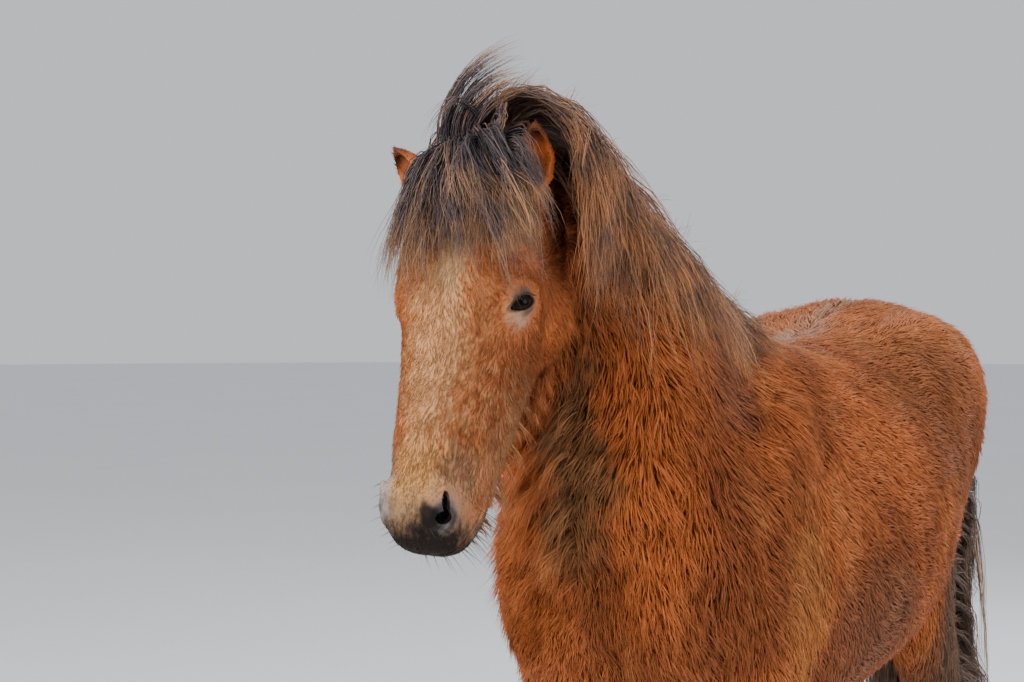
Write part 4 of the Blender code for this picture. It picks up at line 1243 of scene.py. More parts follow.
def forelock_guides(lie, draw):
    """The forelock, fanned over the forehead from a whorl between the ears, its left edge over the near ear."""
    head = head_frame()
    turn = head.to_3x3()
    found = []
    for k in range(96):
        share = -1 + 2 * (k + 0.5) / 96
        left, right = max(share, 0.0), max(-share, 0.0)
        root = head @ Vector((draw.uniform(-0.030, 0.014) + 0.026 * right, 0.0, share * 0.038 + draw.uniform(-0.008, 0.008)))
        first = turn @ Vector((draw.uniform(-0.75, 0.15) + 0.5 * right, 1.0, share * (0.45 + 0.9 * left)))
        pull = turn @ Vector((1.0, -0.04, share * (0.34 - 0.20 * right + 0.72 * left) + 0.10 + draw.uniform(-0.12, 0.22)))
        length = FORELOCK * (1.22 + 0.34 * left - 0.14 * right) * draw.uniform(0.70, 1.14)
        high = draw.uniform(0.012, 0.040) * (1 - 0.65 * right) + 0.022 * left
        shape = (length, high + 0.010, 8, draw.uniform(0.28, 0.46) - 0.08 * left, 0.010 + 0.020 * left, draw.uniform(-0.010, 0.010), 0.008)
        found.append((*guide(lie, root, first, pull, *shape), draw.uniform(0.008, 0.015)))
    for _ in range(34):
        root = head @ Vector((draw.uniform(-0.038, 0.004), 0.0, draw.uniform(0.0, 0.040)))
        first = turn @ Vector((draw.uniform(-0.30, 0.15), 0.42, 1.0))
        pull = turn @ Vector((1.0, draw.uniform(-0.42, -0.12), draw.uniform(0.40, 0.85)))
        shape = (FORELOCK * draw.uniform(1.0, 1.50), 0.085, 8, draw.uniform(0.17, 0.26), 0.016, draw.uniform(-0.006, 0.006), 0.008)
        found.append((*guide(lie, root, first, pull, *shape), draw.uniform(0.007, 0.012)))
    return found


def blown_guides(lie, draw):
    """The tuft at the poll that the wind holds up, and the hair behind it that is blown over the left ear."""
    head = head_frame()
    found = []
    for k in range(20):
        share = k / 19
        root = head @ Vector((draw.uniform(-0.016, 0.012), 0.0, -0.036 + 0.050 * share))
        first = (-0.42 + 0.34 * share, -0.12, 1.0)
        pull = Vector(TUFT_WIND) + Vector((0, 0, draw.uniform(-0.22, 0.16)))
        path = guide(lie, root, first, pull, 0.238 - 0.085 * share, None, 9, 0.225)
        found.append((*path, 0.009))
    for k in range(30):
        root = head @ Vector((draw.uniform(-0.055, -0.015), -0.01, draw.uniform(-0.030, 0.040)))
        first = (draw.uniform(0.5, 1.2), draw.uniform(0.2, 0.8), 0.8)
        pull = (draw.uniform(0.4, 0.9), draw.uniform(0.3, 0.8), -1.0)
        path = guide(lie, root, first, pull, draw.uniform(0.12, 0.20), None, 9, 0.30, 0.010)
        found.append((*path, 0.010))
    return found


def tail_guides(lie, draw):
    """The tail's long hair from the whole of its dock, blown to the left and hanging."""
    path = tail_path()
    found = []
    count = 92
    for k in range(count):
        share = (k + 0.5) / count
        at = path[1 + int(share * 0.72 * (len(path) - 2))]
        angle = 2.399 * k
        away = Vector((math.cos(angle), 0.55 * math.sin(angle) + 0.30, 0))
        length = (at.z - TAIL_END) * draw.uniform(0.72, 1.0)
        blown = TAIL_BLOWN * (1 - share) * draw.uniform(0.30, 1.25 + 0.5 * (k % 3 == 0))
        first = (away.x * 0.20 + blown, away.y * 0.16, -1.0)
        pull = (away.x * 0.03 + 0.06 * blown + draw.uniform(-0.05, 0.02), draw.uniform(-0.07, 0.0), -1.0)
        shape = (length, None, 9, draw.uniform(0.45, 0.75), 0.006, draw.uniform(-0.006, 0.006))
        found.append((*guide(lie, at + away * 0.02, first, pull, *shape), draw.uniform(0.010, 0.022)))
    return found


def matted_guides(lie, draw):
    """The tangled hair that hangs on the back of the left thigh beside the tail."""
    found = []
    for _ in range(90):
        height = draw.uniform(0.0, 1.0)
        root = Vector((draw.uniform(0.13, 0.235), 0.60 + 0.10 * height, 0.56 + 0.48 * height))
        first = (draw.uniform(0.0, 0.6), draw.uniform(0.5, 1.2), draw.uniform(-1.0, 0.2))
        pull = (draw.uniform(-0.20, 0.25), draw.uniform(-0.02, 0.24), -1.0)
        length = draw.uniform(0.12, 0.26)
        found.append((*guide(lie, root, first, pull, length, 0.048, 7, draw.uniform(0.25, 0.45), 0.008, draw.uniform(-0.013, 0.013)), 0.015))
    return found


def feather_guides(lie, draw):
    """The long hair behind each fetlock."""
    found = []
    for x, y in feet():
        for k in range(20):
            angle = math.radians(-100 + 200 * (k + 0.5) / 20)
            away = Vector((math.sin(angle), math.cos(angle), 0))
            root = Vector((x, y + FETLOCK_BACK - 0.01, draw.uniform(0.140, 0.200))) + away * 0.05
            pull = away * 0.10 + Vector((0, 0, -1))
            first = away * 0.4 + Vector((0, 0, -0.9))
            length = min(draw.uniform(0.06, 0.105), root.z - 0.045)
            found.append((*guide(lie, root, first, pull, length, 0.018, 6, 0.4, 0.003, 0, 0.006), 0.006))
    return found


def beard_guides(lie, draw):
    """The longer hair under the jaw and the chin."""
    head = head_frame()
    turn = head.to_3x3()
    found = []
    for k in range(110):
        along = 0.34 + 0.56 * (k + 0.5) / 110
        side = draw.uniform(-1, 1)
        root = head @ (Vector((along, -0.34 + 0.20 * max(0.0, along - 0.6), side * 0.085)) * HEAD)
        first = turn @ Vector((0.3, -1.0, side * 0.3))
        pull = (draw.uniform(-0.15, 0.15), draw.uniform(0.1, 0.6), -1.0)
        length = draw.uniform(0.045, 0.085) * (1.0 if along < 0.80 else 0.5)
        found.append((*guide(lie, root, first, pull, length, None, 5, 0.4, 0.003, 0, 0.004), 0.006))
    return found


def ruff_guides(lie, draw):
    """The long hair that hangs from the throat and fills the place between the chin and the breast."""
    found = []
    for _ in range(150):
        root = Vector((draw.uniform(-0.130, 0.0), -0.77, draw.uniform(0.96, 1.26)))
        first = (draw.uniform(-1.1, 0.0), -0.8, draw.uniform(-0.6, 0.0))
        pull = (draw.uniform(-0.35, 0.1), draw.uniform(-0.25, 0.2), -1.0)
        length = draw.uniform(0.06, 0.12)
        found.append((*guide(lie, root, first, pull, length, None, 6, draw.uniform(0.2, 0.4), 0.004, 0, 0.006), 0.011))
    return found


def bristles(ground, draw):
    """Whiskers on the lips and chin, and lashes on the upper lids, as single strands."""
    head = head_frame()
    turn = head.to_3x3()
    paths, widths = [], []

    def add(place, way, length, width, sag):
        near, normal, _, _ = ground.tree.find_nearest(head @ place)
        way = (turn @ way).normalized()
        steps = [near + way * (length * t) + Vector((0, 0, -sag * t * t)) - normal * 0.002 * (1 - t) for t in np.linspace(0, 1, 6)]
        paths.append([list(p) for p in steps])
        widths.append([width * (1.1 - t) for t in np.linspace(0, 1, 6)])

    for _ in range(95):
        along, side = draw.uniform(0.84, 0.96), draw.uniform(-1, 1)
        place = Vector((along, draw.uniform(-0.28, -0.14), side * 0.11)) * HEAD
        add(place, Vector((0.35, -0.9, side * 0.9)), draw.uniform(0.020, 0.050), 0.0009, 0.010)
    for _ in range(45):
        side = draw.choice((-1, 1))
        place = Vector((draw.uniform(0.80, 0.96), draw.uniform(-0.13, -0.02), side * draw.uniform(0.03, 0.12))) * HEAD
        add(place, Vector((0.5, 0.35, side * 0.9)), draw.uniform(0.010, 0.024), 0.0007, 0.003)
    for side in (1, -1):
        look, slit = eye_axes(side)
        rise = look.cross(slit) if side > 0 else slit.cross(look)
        if (turn @ rise).z < 0:
            rise = -rise
        for k in range(26):
            angle = math.radians(18 + 144 * k / 25)
            c, s = math.cos(angle), math.sin(angle)
            tilt = math.hypot(LID_LONG * c, LID_HIGH * s)
            spread = (slit * LID_LONG * c + rise * LID_HIGH * s) / tilt
            place = on_head(EYE_AT, side) + (look * math.cos(tilt) + spread * math.sin(tilt)) * (EYE + 0.005)
            way = look * 0.9 + rise * 0.15 + slit * 0.4 * c + Vector((0.5, 0, 0))
            add(place, way, draw.uniform(0.009, 0.013), 0.0009, 0.002)
    paths, widths = np.array(paths), np.array(widths)
    uv = np.array([ground.map_at(p[0]) for p in paths])
    normals = np.tile(np.array(turn @ Vector((0, 1, 0.2))), (len(paths), paths.shape[1], 1))
    return paths, normals, widths, uv, np.array([draw.uniform(0.2, 0.8) for _ in paths])


def linear(red, green, blue):
    """A colour given in steps of 255 as a picture shows it, in the numbers that shaders take."""
    return tuple(((c / 255 + 0.055) / 1.055) ** 2.4 for c in (red, green, blue))


# The coat's markings, with painted shade at the nostrils and painted light on the left of the neck: where the place is
# read (on the body, the body with both sides alike, or in the head's own shares, whole or with both sides alike),
# centre, radii, colour, strength
MARKINGS_AND_PAINTED_LIGHT = {
    "dorsal_stripe": ("both", (0.0, 0.05, 1.37), (0.060, 0.50, 0.16), (176, 146, 128), 0.75),
    "croup": ("both", (0.12, 0.28, 1.30), (0.20, 0.26, 0.12), (196, 126, 80), 0.5),
    # Painted light: a brighter orange on the left of the neck that lifts the shade of the head and mane
    "neck_side_painted_light": ("body", (0.14, -0.52, 1.10), (0.10, 0.16, 0.34), (198, 114, 60), 0.55),
    "rump": ("both", (0.24, 0.24, 1.15), (0.16, 0.24, 0.24), (140, 90, 60), 0.6),
    "flank": ("both", (0.268, -0.160, 0.80), (0.12, 0.24, 0.17), (122, 84, 64), 0.6),
    "elbow_gold": ("both", (0.247, -0.44, 0.90), (0.08, 0.11, 0.22), (186, 120, 66), 0.7),
    "shoulder_red": ("both", (0.17, -0.60, 1.08), (0.07, 0.12, 0.21), (130, 70, 42), 0.65),
    "shoulder_plum": ("both", (0.13, -0.50, 1.24), (0.08, 0.13, 0.11), (112, 72, 58), 0.7),
    "neck_orange": ("body", (0.09, -0.70, 1.10), (0.08, 0.14, 0.34), (190, 104, 52), 0.7),
    "throat": ("body", (0.0, -0.75, 1.12), (0.060, 0.12, 0.22), (124, 92, 60), 0.75),
    "breast_edge": ("body", (-0.118, -0.715, 0.916), (0.09, 0.12, 0.22), (156, 84, 40), 0.8),
    "thigh_matted": ("body", (0.19, 0.57, 0.72), (0.16, 0.17, 0.44), (106, 86, 72), 0.92),
    "thigh_frost": ("body", (0.185, 0.625, 1.030), (0.08, 0.09, 0.085), (206, 196, 202), 0.85),
    "belly_pale": ("both", (0.0, 0.0, 0.62), (0.20, 0.60, 0.10), (178, 122, 72), 0.6),
    "lower_legs": ("both", (0.145, 0.0, 0.12), (0.30, 1.50, 0.42), (140, 84, 48), 0.65),
    "face": ("head", (0.52, 0.02, 0.0), (0.60, 0.20, 0.24), (182, 116, 70), 0.80),
    "blaze": ("head", (0.50, 0.02, 0.01), (0.40, 0.14, 0.125), (204, 158, 112), 0.60),
    "blaze_top": ("head", (0.29, 0.03, 0.035), (0.10, 0.08, 0.06), (218, 184, 138), 0.5),
    "jaw_pale": ("head", (0.72, -0.24, 0.0), (0.34, 0.22, 0.26), (178, 134, 94), 0.60),
    "nose_tan": ("head", (0.86, -0.04, 0.0), (0.19, 0.16, 0.13), (186, 140, 84), 0.75),
    "muzzle": ("head", (0.93, -0.10, 0.0), (0.11, 0.26, 0.22), (164, 130, 100), 0.7),
    "nostril_surround": ("head_both", (0.80, -0.07, 0.10), (0.10, 0.09, 0.070), (150, 116, 90), 0.6),
    "nostril_edge": ("head_both", (0.885, -0.060, 0.088), (0.060, 0.058, 0.056), (138, 126, 122), 0.6),
    "far_nostril": ("head", (0.868, -0.045, -0.088), (0.095, 0.070, 0.060), (146, 144, 150), 0.65),
    # Painted shade: a soft dark patch round each nostril, standing in for the shade at the edge of its opening
    "nostril_soft_painted_shade": ("head_both", (0.890, -0.056, 0.098), (0.050, 0.046, 0.050), (52, 48, 54), 0.85),
    "nostril_rim": ("head", (0.925, -0.072, 0.098), (0.030, 0.026, 0.040), (176, 170, 166), 0.6),
    # Painted shade: a near-black patch beside the near nostril, standing in for the shade that falls there
    "nostril_painted_shade": ("head", (0.912, -0.034, 0.062), (0.062, 0.060, 0.046), (20, 14, 12), 0.95),
    "lower_lip": ("head", (0.93, -0.225, 0.0), (0.13, 0.080, 0.17), (88, 88, 72), 0.9),
    "upper_lip": ("head", (1.000, -0.120, 0.015), (0.195, 0.215, 0.22), (12, 8, 6), 0.98),
    "eye_rim": ("head_both", (0.374, -0.092, 0.176), (0.066, 0.060, 0.060), (176, 146, 120), 0.6),
    "eye_line": ("head_both", (0.354, -0.084, 0.186), (0.0465, 0.0465, 0.0465), (66, 54, 48), 0.9),
    "ears": ("head_both", (0.0, -0.04, 0.20), (0.16, 0.14, 0.14), (180, 94, 42), 0.7),
}
# Ear tips are darker: their colour, which darkens the coat round each side's tip in shares of the head
EAR_TIP_COLOUR = (64, 38, 26)


def shader_node(tree, kind, sockets=None, **settings):
    """A shader node whose sockets take values or other nodes' sockets."""
    made = tree.nodes.new("ShaderNode" + kind)
    for key, value in settings.items():
        setattr(made, key, value)
    for key, value in (sockets or {}).items():
        if isinstance(value, bpy.types.NodeSocket):
            tree.links.new(value, made.inputs[key])
        else:
            made.inputs[key].default_value = value
    return made


def mixed(tree, share, first, second, kind="MIX"):
    """Two colours mixed by a share."""
    colours = [c if isinstance(c, bpy.types.NodeSocket) else (*c, 1) for c in (first, second)]
    made = shader_node(tree, "Mix", data_type="RGBA", blend_type=kind)
    for socket, value in zip((made.inputs[0], made.inputs[6], made.inputs[7]), (share, *colours)):
        if isinstance(value, bpy.types.NodeSocket):
            tree.links.new(value, socket)
        else:
            socket.default_value = value
    return made.outputs[2]


def worked(tree, operation, first, second=0.5, third=0.5):
    """One Math node's result."""
    return shader_node(tree, "Math", {0: first, 1: second, 2: third}, operation=operation).outputs[0]


def moved(tree, operation, first, second=(0, 0, 0)):
    """One Vector Math node's vector."""
    return shader_node(tree, "VectorMath", {0: first, 1: second}, operation=operation).outputs[0]


def ranged(tree, value, start, end, low=0.0, high=1.0):
    """A value brought smoothly from one range to another."""
    sockets = {0: value, 1: start, 2: end, 3: low, 4: high}
    return shader_node(tree, "MapRange", sockets, interpolation_type="SMOOTHSTEP").outputs[0]


def noise(tree, place, scale, detail=2.0, roughness=0.5, distortion=0.0):
    sockets = {"Vector": place, "Scale": scale, "Detail": detail, "Roughness": roughness, "Distortion": distortion}
    return shader_node(tree, "TexNoise", sockets)


def effect(name, inputs, outputs):
    """An empty shader node group with its sockets, and its input and output nodes."""
    tree = bpy.data.node_groups.new(name, "ShaderNodeTree")
    for socket, kind, default in inputs:
        made = tree.interface.new_socket(name=socket, in_out="INPUT", socket_type="NodeSocket" + kind)
        if default is not None:
            made.default_value = default
    for socket, kind in outputs:
        tree.interface.new_socket(name=socket, in_out="OUTPUT", socket_type="NodeSocket" + kind)
    return tree, tree.nodes.new("NodeGroupInput"), tree.nodes.new("NodeGroupOutput")


def placed_effect(tree, name, **sockets):
    """A use of a node group in a material."""
    made = shader_node(tree, "Group")
    made.node_tree = bpy.data.node_groups[name]
    for key, value in sockets.items():
        socket = made.inputs[key.replace("_", " ")]
        if isinstance(value, bpy.types.NodeSocket):
            tree.links.new(value, socket)
        else:
            socket.default_value = value
    return made


def markings_effect():
    """The coat's colour at each place of the body and head, with painted shade at the nostrils and painted light on the
    neck.
    """
    colours = bpy.context.scene.horse_colours
    tree, start, end = effect("coat_markings_and_painted_light", [("Place", "Vector", None)], [("Colour", "Color")])
    shift = designed_to_frame()
    place = moved(tree, "SUBTRACT", start.outputs["Place"], tuple(shift))
    wander = noise(tree, place, 7.0, 3.0, 0.6).outputs["Color"]
    wander = moved(tree, "SUBTRACT", wander, (0.5, 0.5, 0.5))
    wander = moved(tree, "MULTIPLY", wander, (0.16, 0.16, 0.16))
    body = moved(tree, "ADD", place, wander)
    parts = shader_node(tree, "SeparateXYZ", {0: body})
    aside = worked(tree, "ABSOLUTE", parts.outputs[0])
    both = shader_node(tree, "CombineXYZ", {0: aside, 1: parts.outputs[1], 2: parts.outputs[2]}).outputs[0]

    small_wander = noise(tree, place, 30.0, 3.0, 0.6).outputs["Color"]
    small_wander = moved(tree, "SUBTRACT", small_wander, (0.5, 0.5, 0.5))
    small_wander = moved(tree, "MULTIPLY", small_wander, (0.035, 0.035, 0.035))
    near_head = moved(tree, "ADD", place, small_wander)
    turn = head_frame()
    from_poll = moved(tree, "SUBTRACT", near_head, tuple(turn.translation))
    shares = []
    for k in range(3):
        axis = tuple(turn.to_3x3().col[k] / HEAD)
        made = shader_node(tree, "VectorMath", {0: from_poll, 1: axis}, operation="DOT_PRODUCT")
        shares.append(made.outputs["Value"])
    head = shader_node(tree, "CombineXYZ", {0: shares[0], 1: shares[1], 2: shares[2]}).outputs[0]
    head_aside = worked(tree, "ABSOLUTE", shares[2])
    head_both = shader_node(tree, "CombineXYZ", {0: shares[0], 1: shares[1], 2: head_aside}).outputs[0]
    read = {"body": body, "both": both, "head": head, "head_both": head_both}

    large = noise(tree, place, 5.0, 3.0, 0.55).outputs[0]
    broken = noise(tree, moved(tree, "MULTIPLY", place, (1, 1, 0.5)), 75.0, 4.0, 0.65).outputs[0]
    broken = ranged(tree, broken, 0.25, 0.75, -0.30, 0.30)
    colour = mixed(tree, ranged(tree, large, 0.40, 0.62), tuple(colours.dark), tuple(colours.chestnut))
    gold = noise(tree, moved(tree, "MULTIPLY", place, (1, 1, 0.4)), 11.0, 4.0, 0.6).outputs[0]
    colour = mixed(tree, ranged(tree, gold, 0.52, 0.72, 0.0, 0.6), colour, tuple(colours.gold))
    for where, centre, radii, shade, strength in MARKINGS_AND_PAINTED_LIGHT.values():
        from_centre = moved(tree, "SUBTRACT", read[where], centre)
        scaled = moved(tree, "MULTIPLY", from_centre, tuple(1 / r for r in radii))
        far = shader_node(tree, "VectorMath", {0: scaled}, operation="LENGTH").outputs["Value"]
        far = worked(tree, "MULTIPLY_ADD", broken, min(1.0, 12 * radii[0] ** 2), far)
        colour = mixed(tree, ranged(tree, far, 1.05, 0.40, 0.0, strength), colour, linear(*shade))
    for side in (1, -1):
        rise, forward, apart = EAR_TILT[side]
        up = Vector((rise, forward, apart * side)).normalized()
        tip = Vector((EAR_AT[0], EAR_AT[1], EAR_AT[2] * side)) + up * (EAR / HEAD)
        from_tip = moved(tree, "SUBTRACT", head, tuple(tip))
        far = shader_node(tree, "VectorMath", {0: from_tip}, operation="LENGTH").outputs["Value"]
        colour = mixed(tree, ranged(tree, far, 0.085, 0.02, 0.0, 0.85), colour, linear(*EAR_TIP_COLOUR))
    tree.links.new(colour, end.inputs["Colour"])


def hair_effect():
    """A hair's colour from its coat's colour: darker at the root and paler at the tip, each tuft a little its own."""
    inputs = [
        ("Colour", "Color", (0.5, 0.3, 0.1, 1)),
        ("Shade", "Float", 0.5),
        ("Tipward", "Float", 0.5),
        ("Root", "Float", 0.45),
        ("Tip", "Float", 1.35),
        ("Spread", "Float", 0.5),
    ]
    tree, start, end = effect("hair_colour", inputs, [("Colour", "Color")])
    given = start.outputs
    along = ranged(tree, given["Tipward"], 0.0, 1.0, 0.0, 1.0)
    level = worked(tree, "ADD", given["Root"], worked(tree, "MULTIPLY", along, worked(tree, "SUBTRACT", given["Tip"], given["Root"])))
    own = worked(tree, "MULTIPLY", worked(tree, "SUBTRACT", given["Shade"], 0.5), given["Spread"])
    level = worked(tree, "MULTIPLY", level, worked(tree, "ADD", own, 1.0))
    grey = shader_node(tree, "CombineColor", {0: level, 1: level, 2: level}).outputs[0]
    tinted = mixed(tree, 1.0, given["Colour"], grey, "MULTIPLY")
    tree.links.new(tinted, end.inputs["Colour"])


def new_material(name):
    """A material with its shader and the place on the object that patterns read."""
    material = bpy.data.materials.new(name)
    material.use_nodes = True
    tree = material.node_tree
    shader = tree.nodes["Principled BSDF"]
    place = shader_node(tree, "TexCoord").outputs["Object"]
    return material, tree, shader, place


def finished(obj, material):
    """Gives a piece its finish and lets it ride on the horse."""
    obj.data.materials.clear()
    obj.data.materials.append(material)
    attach(obj, "root")
    return obj


def bumped(tree, shader, height, strength, distance):
    bump = shader_node(tree, "Bump", {"Height": height, "Strength": strength, "Distance": distance})
    tree.links.new(bump.outputs[0], shader.inputs["Normal"])


def skin_material():
    """The short under coat, with fine streaks down the hair's fall, the bare pale edge of the mouth and painted shade
    on the walls inside the nostrils.
    """
    material, tree, shader, place = new_material("under_coat")
    markings = placed_effect(tree, "coat_markings_and_painted_light", Place=place).outputs[0]
    streaks = noise(tree, moved(tree, "MULTIPLY", place, (1, 1, 0.22)), 260.0, 3.0, 0.6).outputs[0]
    lip = shader_node(tree, "Attribute", attribute_name="lip").outputs["Fac"]
    markings = mixed(tree, worked(tree, "MULTIPLY", lip, 0.9), markings, linear(206, 192, 164))
    # Painted shade: the walls inside the nostrils turn near black, for the shade in their hollows
    deep = shader_node(tree, "Attribute", attribute_name="deep").outputs["Fac"]
    markings = mixed(tree, deep, markings, linear(24, 24, 34))
    colour = placed_effect(tree, "hair_colour", Colour=markings, Shade=streaks, Tipward=0.5, Root=0.92, Tip=1.10, Spread=0.5)
    tree.links.new(colour.outputs[0], shader.inputs["Base Color"])
    shader.inputs["Roughness"].default_value = 0.72
    shader.inputs["Specular IOR Level"].default_value = 0.15
    bumped(tree, shader, streaks, 0.5, 0.0012)
    return material


def coat_material(name, root, tip, spread):
    """The long outer coat in the body's markings, their painted shade and light included."""
    material, tree, shader, place = new_material(name)
    markings = placed_effect(tree, "coat_markings_and_painted_light", Place=place).outputs[0]
    shade = shader_node(tree, "Attribute", attribute_name="shade").outputs["Fac"]
    tipward = shader_node(tree, "Attribute", attribute_name="tipward").outputs["Fac"]
    colour = placed_effect(tree, "hair_colour", Colour=markings, Shade=shade, Tipward=tipward, Root=root, Tip=tip, Spread=spread)
    tree.links.new(colour.outputs[0], shader.inputs["Base Color"])
    shader.inputs["Roughness"].default_value = 0.66
    shader.inputs["Specular IOR Level"].default_value = 0.12
    return material


def long_hair_material(name, base, tips, frost=None, start=0.40):
    """Long coarse hair: grey-brown strands that turn golden at their ends, and frost where it holds."""
    material, tree, shader, place = new_material(name)
    shade = shader_node(tree, "Attribute", attribute_name="shade").outputs["Fac"]
    tipward = shader_node(tree, "Attribute", attribute_name="tipward").outputs["Fac"]
    patches = noise(tree, place, 14.0, 3.0, 0.6).outputs[0]
    golden = worked(tree, "MULTIPLY", ranged(tree, tipward, start, 1.0), ranged(tree, patches, 0.38, 0.60, 0.10, 1.0))
    colour = mixed(tree, golden, tuple(base), tuple(tips))
    lone = worked(tree, "MULTIPLY", ranged(tree, shade, 0.82, 0.97, 0.0, 0.6), ranged(tree, tipward, 0.1, 0.5))
    colour = mixed(tree, lone, colour, tuple(tips))
    if frost:
        centre, radii, pale = frost
        near = moved(tree, "SUBTRACT", place, tuple(Vector(centre) + designed_to_frame()))
        near = moved(tree, "MULTIPLY", near, tuple(1 / r for r in radii))
        far = shader_node(tree, "VectorMath", {0: near}, operation="LENGTH").outputs["Value"]
        speckle = ranged(tree, noise(tree, place, 120.0, 3.0, 0.7).outputs[0], 0.48, 0.62)
        colour = mixed(tree, worked(tree, "MULTIPLY", ranged(tree, far, 1.0, 0.3, 0.0, 0.85), speckle), colour, linear(*pale))
    final = placed_effect(tree, "hair_colour", Colour=colour, Shade=shade, Tipward=tipward, Root=0.70, Tip=1.10, Spread=0.8)
    tree.links.new(final.outputs[0], shader.inputs["Base Color"])
    shader.inputs["Roughness"].default_value = 0.6
    shader.inputs["Specular IOR Level"].default_value = 0.22
    return material


def eye_material(side):
    """A dark brown, moist eye with a level, oblong pupil."""
    material, tree, shader, place = new_material(f"eye_{'left' if side > 0 else 'right'}")
    low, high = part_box("eye_left" if side > 0 else "eye_right")
    look, _ = eye_axes(side)
    look = head_frame().to_3x3() @ look
    level = Vector((0, 0, 1)).cross(look).normalized()
    rise = look.cross(level)
    near = moved(tree, "SUBTRACT", place, tuple((low + high) / 2))
    shares = []
    for axis, reach in ((level, 0.0072), (rise, 0.0040)):
        made = shader_node(tree, "VectorMath", {0: near, 1: tuple(axis / reach)}, operation="DOT_PRODUCT")
        shares.append(made.outputs["Value"])
    flat = shader_node(tree, "CombineXYZ", {0: shares[0], 1: shares[1]}).outputs[0]
    pupil = shader_node(tree, "VectorMath", {0: flat}, operation="LENGTH").outputs["Value"]
    fibres = noise(tree, moved(tree, "MULTIPLY", place, (1, 1, 2)), 900.0, 3.0, 0.6).outputs[0]
    iris = mixed(tree, ranged(tree, fibres, 0.35, 0.7), (0.006, 0.004, 0.003), (0.020, 0.010, 0.006))
    colour = mixed(tree, ranged(tree, pupil, 1.15, 0.9), iris, (0.001, 0.001, 0.002))
    tree.links.new(colour, shader.inputs["Base Color"])
    shader.inputs["Roughness"].default_value = 0.13
    shader.inputs["Specular IOR Level"].default_value = 0.07
    return material


def hoof_material():
    """Dark horn with growth rings and dried mud."""
    material, tree, shader, place = new_material("horn")
    height = shader_node(tree, "SeparateXYZ", {0: place}).outputs[2]
    wavy = worked(tree, "ADD", height, worked(tree, "MULTIPLY", noise(tree, place, 22.0, 2.0).outputs[0], 0.006))
    rings = worked(tree, "SINE", worked(tree, "MULTIPLY", wavy, 1150.0))
    fibres = noise(tree, moved(tree, "MULTIPLY", place, (1, 1, 0.12)), 380.0, 3.0, 0.6).outputs[0]
    colour = mixed(tree, ranged(tree, fibres, 0.3, 0.7), linear(62, 50, 42), linear(98, 80, 66))
    colour = mixed(tree, ranged(tree, rings, -1.0, 1.0, 0.0, 0.25), colour, linear(120, 100, 84))
    mud = ranged(tree, noise(tree, place, 30.0, 4.0, 0.65).outputs[0], 0.50, 0.62, 0.0, 0.7)
    colour = mixed(tree, mud, colour, linear(122, 100, 80))
    tree.links.new(colour, shader.inputs["Base Color"])
    shader.inputs["Roughness"].default_value = 0.5
    bumped(tree, shader, worked(tree, "ADD", rings, worked(tree, "MULTIPLY", fibres, 1.5)), 0.5, 0.0007)
    return material


def floor_material():
    """A matt pale floor with a trace of tone."""
    material, tree, shader, place = new_material("pale_floor")
    tone = noise(tree, place, 0.8, 3.0).outputs[0]
    colour = mixed(tree, tone, (0.74, 0.75, 0.76), (0.80, 0.81, 0.82))
    tree.links.new(colour, shader.inputs["Base Color"])
    shader.inputs["Roughness"].default_value = 0.9
    return material


def ensured_effects():
    """Makes the shared node groups once."""
    if "coat_markings_and_painted_light" not in bpy.data.node_groups:
        markings_effect()
        hair_effect()


class HorseColours(bpy.types.PropertyGroup):
    chestnut: FloatVectorProperty(
        name="Chestnut", description="The coat's main colour", subtype="COLOR", size=3, min=0, max=1, default=linear(188, 106, 58)
    )
    dark: FloatVectorProperty(
        name="Dark", description="The coat's darker patches", subtype="COLOR", size=3, min=0, max=1, default=linear(148, 82, 46)
    )
    gold: FloatVectorProperty(
        name="Gold", description="The coat's paler streaks", subtype="COLOR", size=3, min=0, max=1, default=linear(202, 130, 76)
    )
    mane: FloatVectorProperty(
        name="Mane", description="The mane's colour at its roots", subtype="COLOR", size=3, min=0, max=1, default=linear(112, 88, 76)
    )
    mane_tips: FloatVectorProperty(
        name="Mane tips", description="The mane's colour at its ends", subtype="COLOR", size=3, min=0, max=1, default=linear(190, 128, 82)
    )
    tail: FloatVectorProperty(
        name="Tail", description="The tail's colour", subtype="COLOR", size=3, min=0, max=1, default=linear(132, 110, 96)
    )


class HorseSizes(bpy.types.PropertyGroup):
    coat: FloatProperty(name="Coat length", description="The length of the coat's tufts on the barrel", default=0.037, min=0.01, max=0.08, unit="LENGTH")
    thickness: FloatProperty(name="Coat density", description="Tufts for each one that the full coat has", default=1.0, min=0.05, max=1.2)
    seed: IntProperty(name="Seed", description="Which random lie of the hair is made", default=7, min=0)


class HORSE_OT_skin(bpy.types.Operator):
    """Build the body under its coat as one skin, with ears, lids, nostrils and mouth"""

    bl_idname = "horse.skin"
    bl_label = "Skin"

    def execute(self, context):
        skin = skin_mesh()
        skin.name = "skin"
        points = np.empty(len(skin.data.vertices) * 3)
        skin.data.vertices.foreach_get("co", points)
        points = points.reshape(-1, 3)
        # lip is the mouth's pale edge, and deep the walls inside the nostrils that take painted shade
        for name, value in (("lip", mouth_share(points, 0.0060, 0.011)), ("deep", inside_nostrils(points))):
            skin.data.attributes.new(name, "FLOAT", "POINT").data.foreach_set("value", value)
        settled(skin)
        skin.data.shade_smooth()
        unwrapped(skin)
        ensured_effects()
        finished(skin, skin_material())
        limbs = [f"{end}leg{part}_{word}" for end in ("fore", "hind") for part in ("", "_cannon") for _, word in SIDES]
        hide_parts("head", "neck", "torso", "ear_left", "ear_right", *limbs)
        return {"FINISHED"}


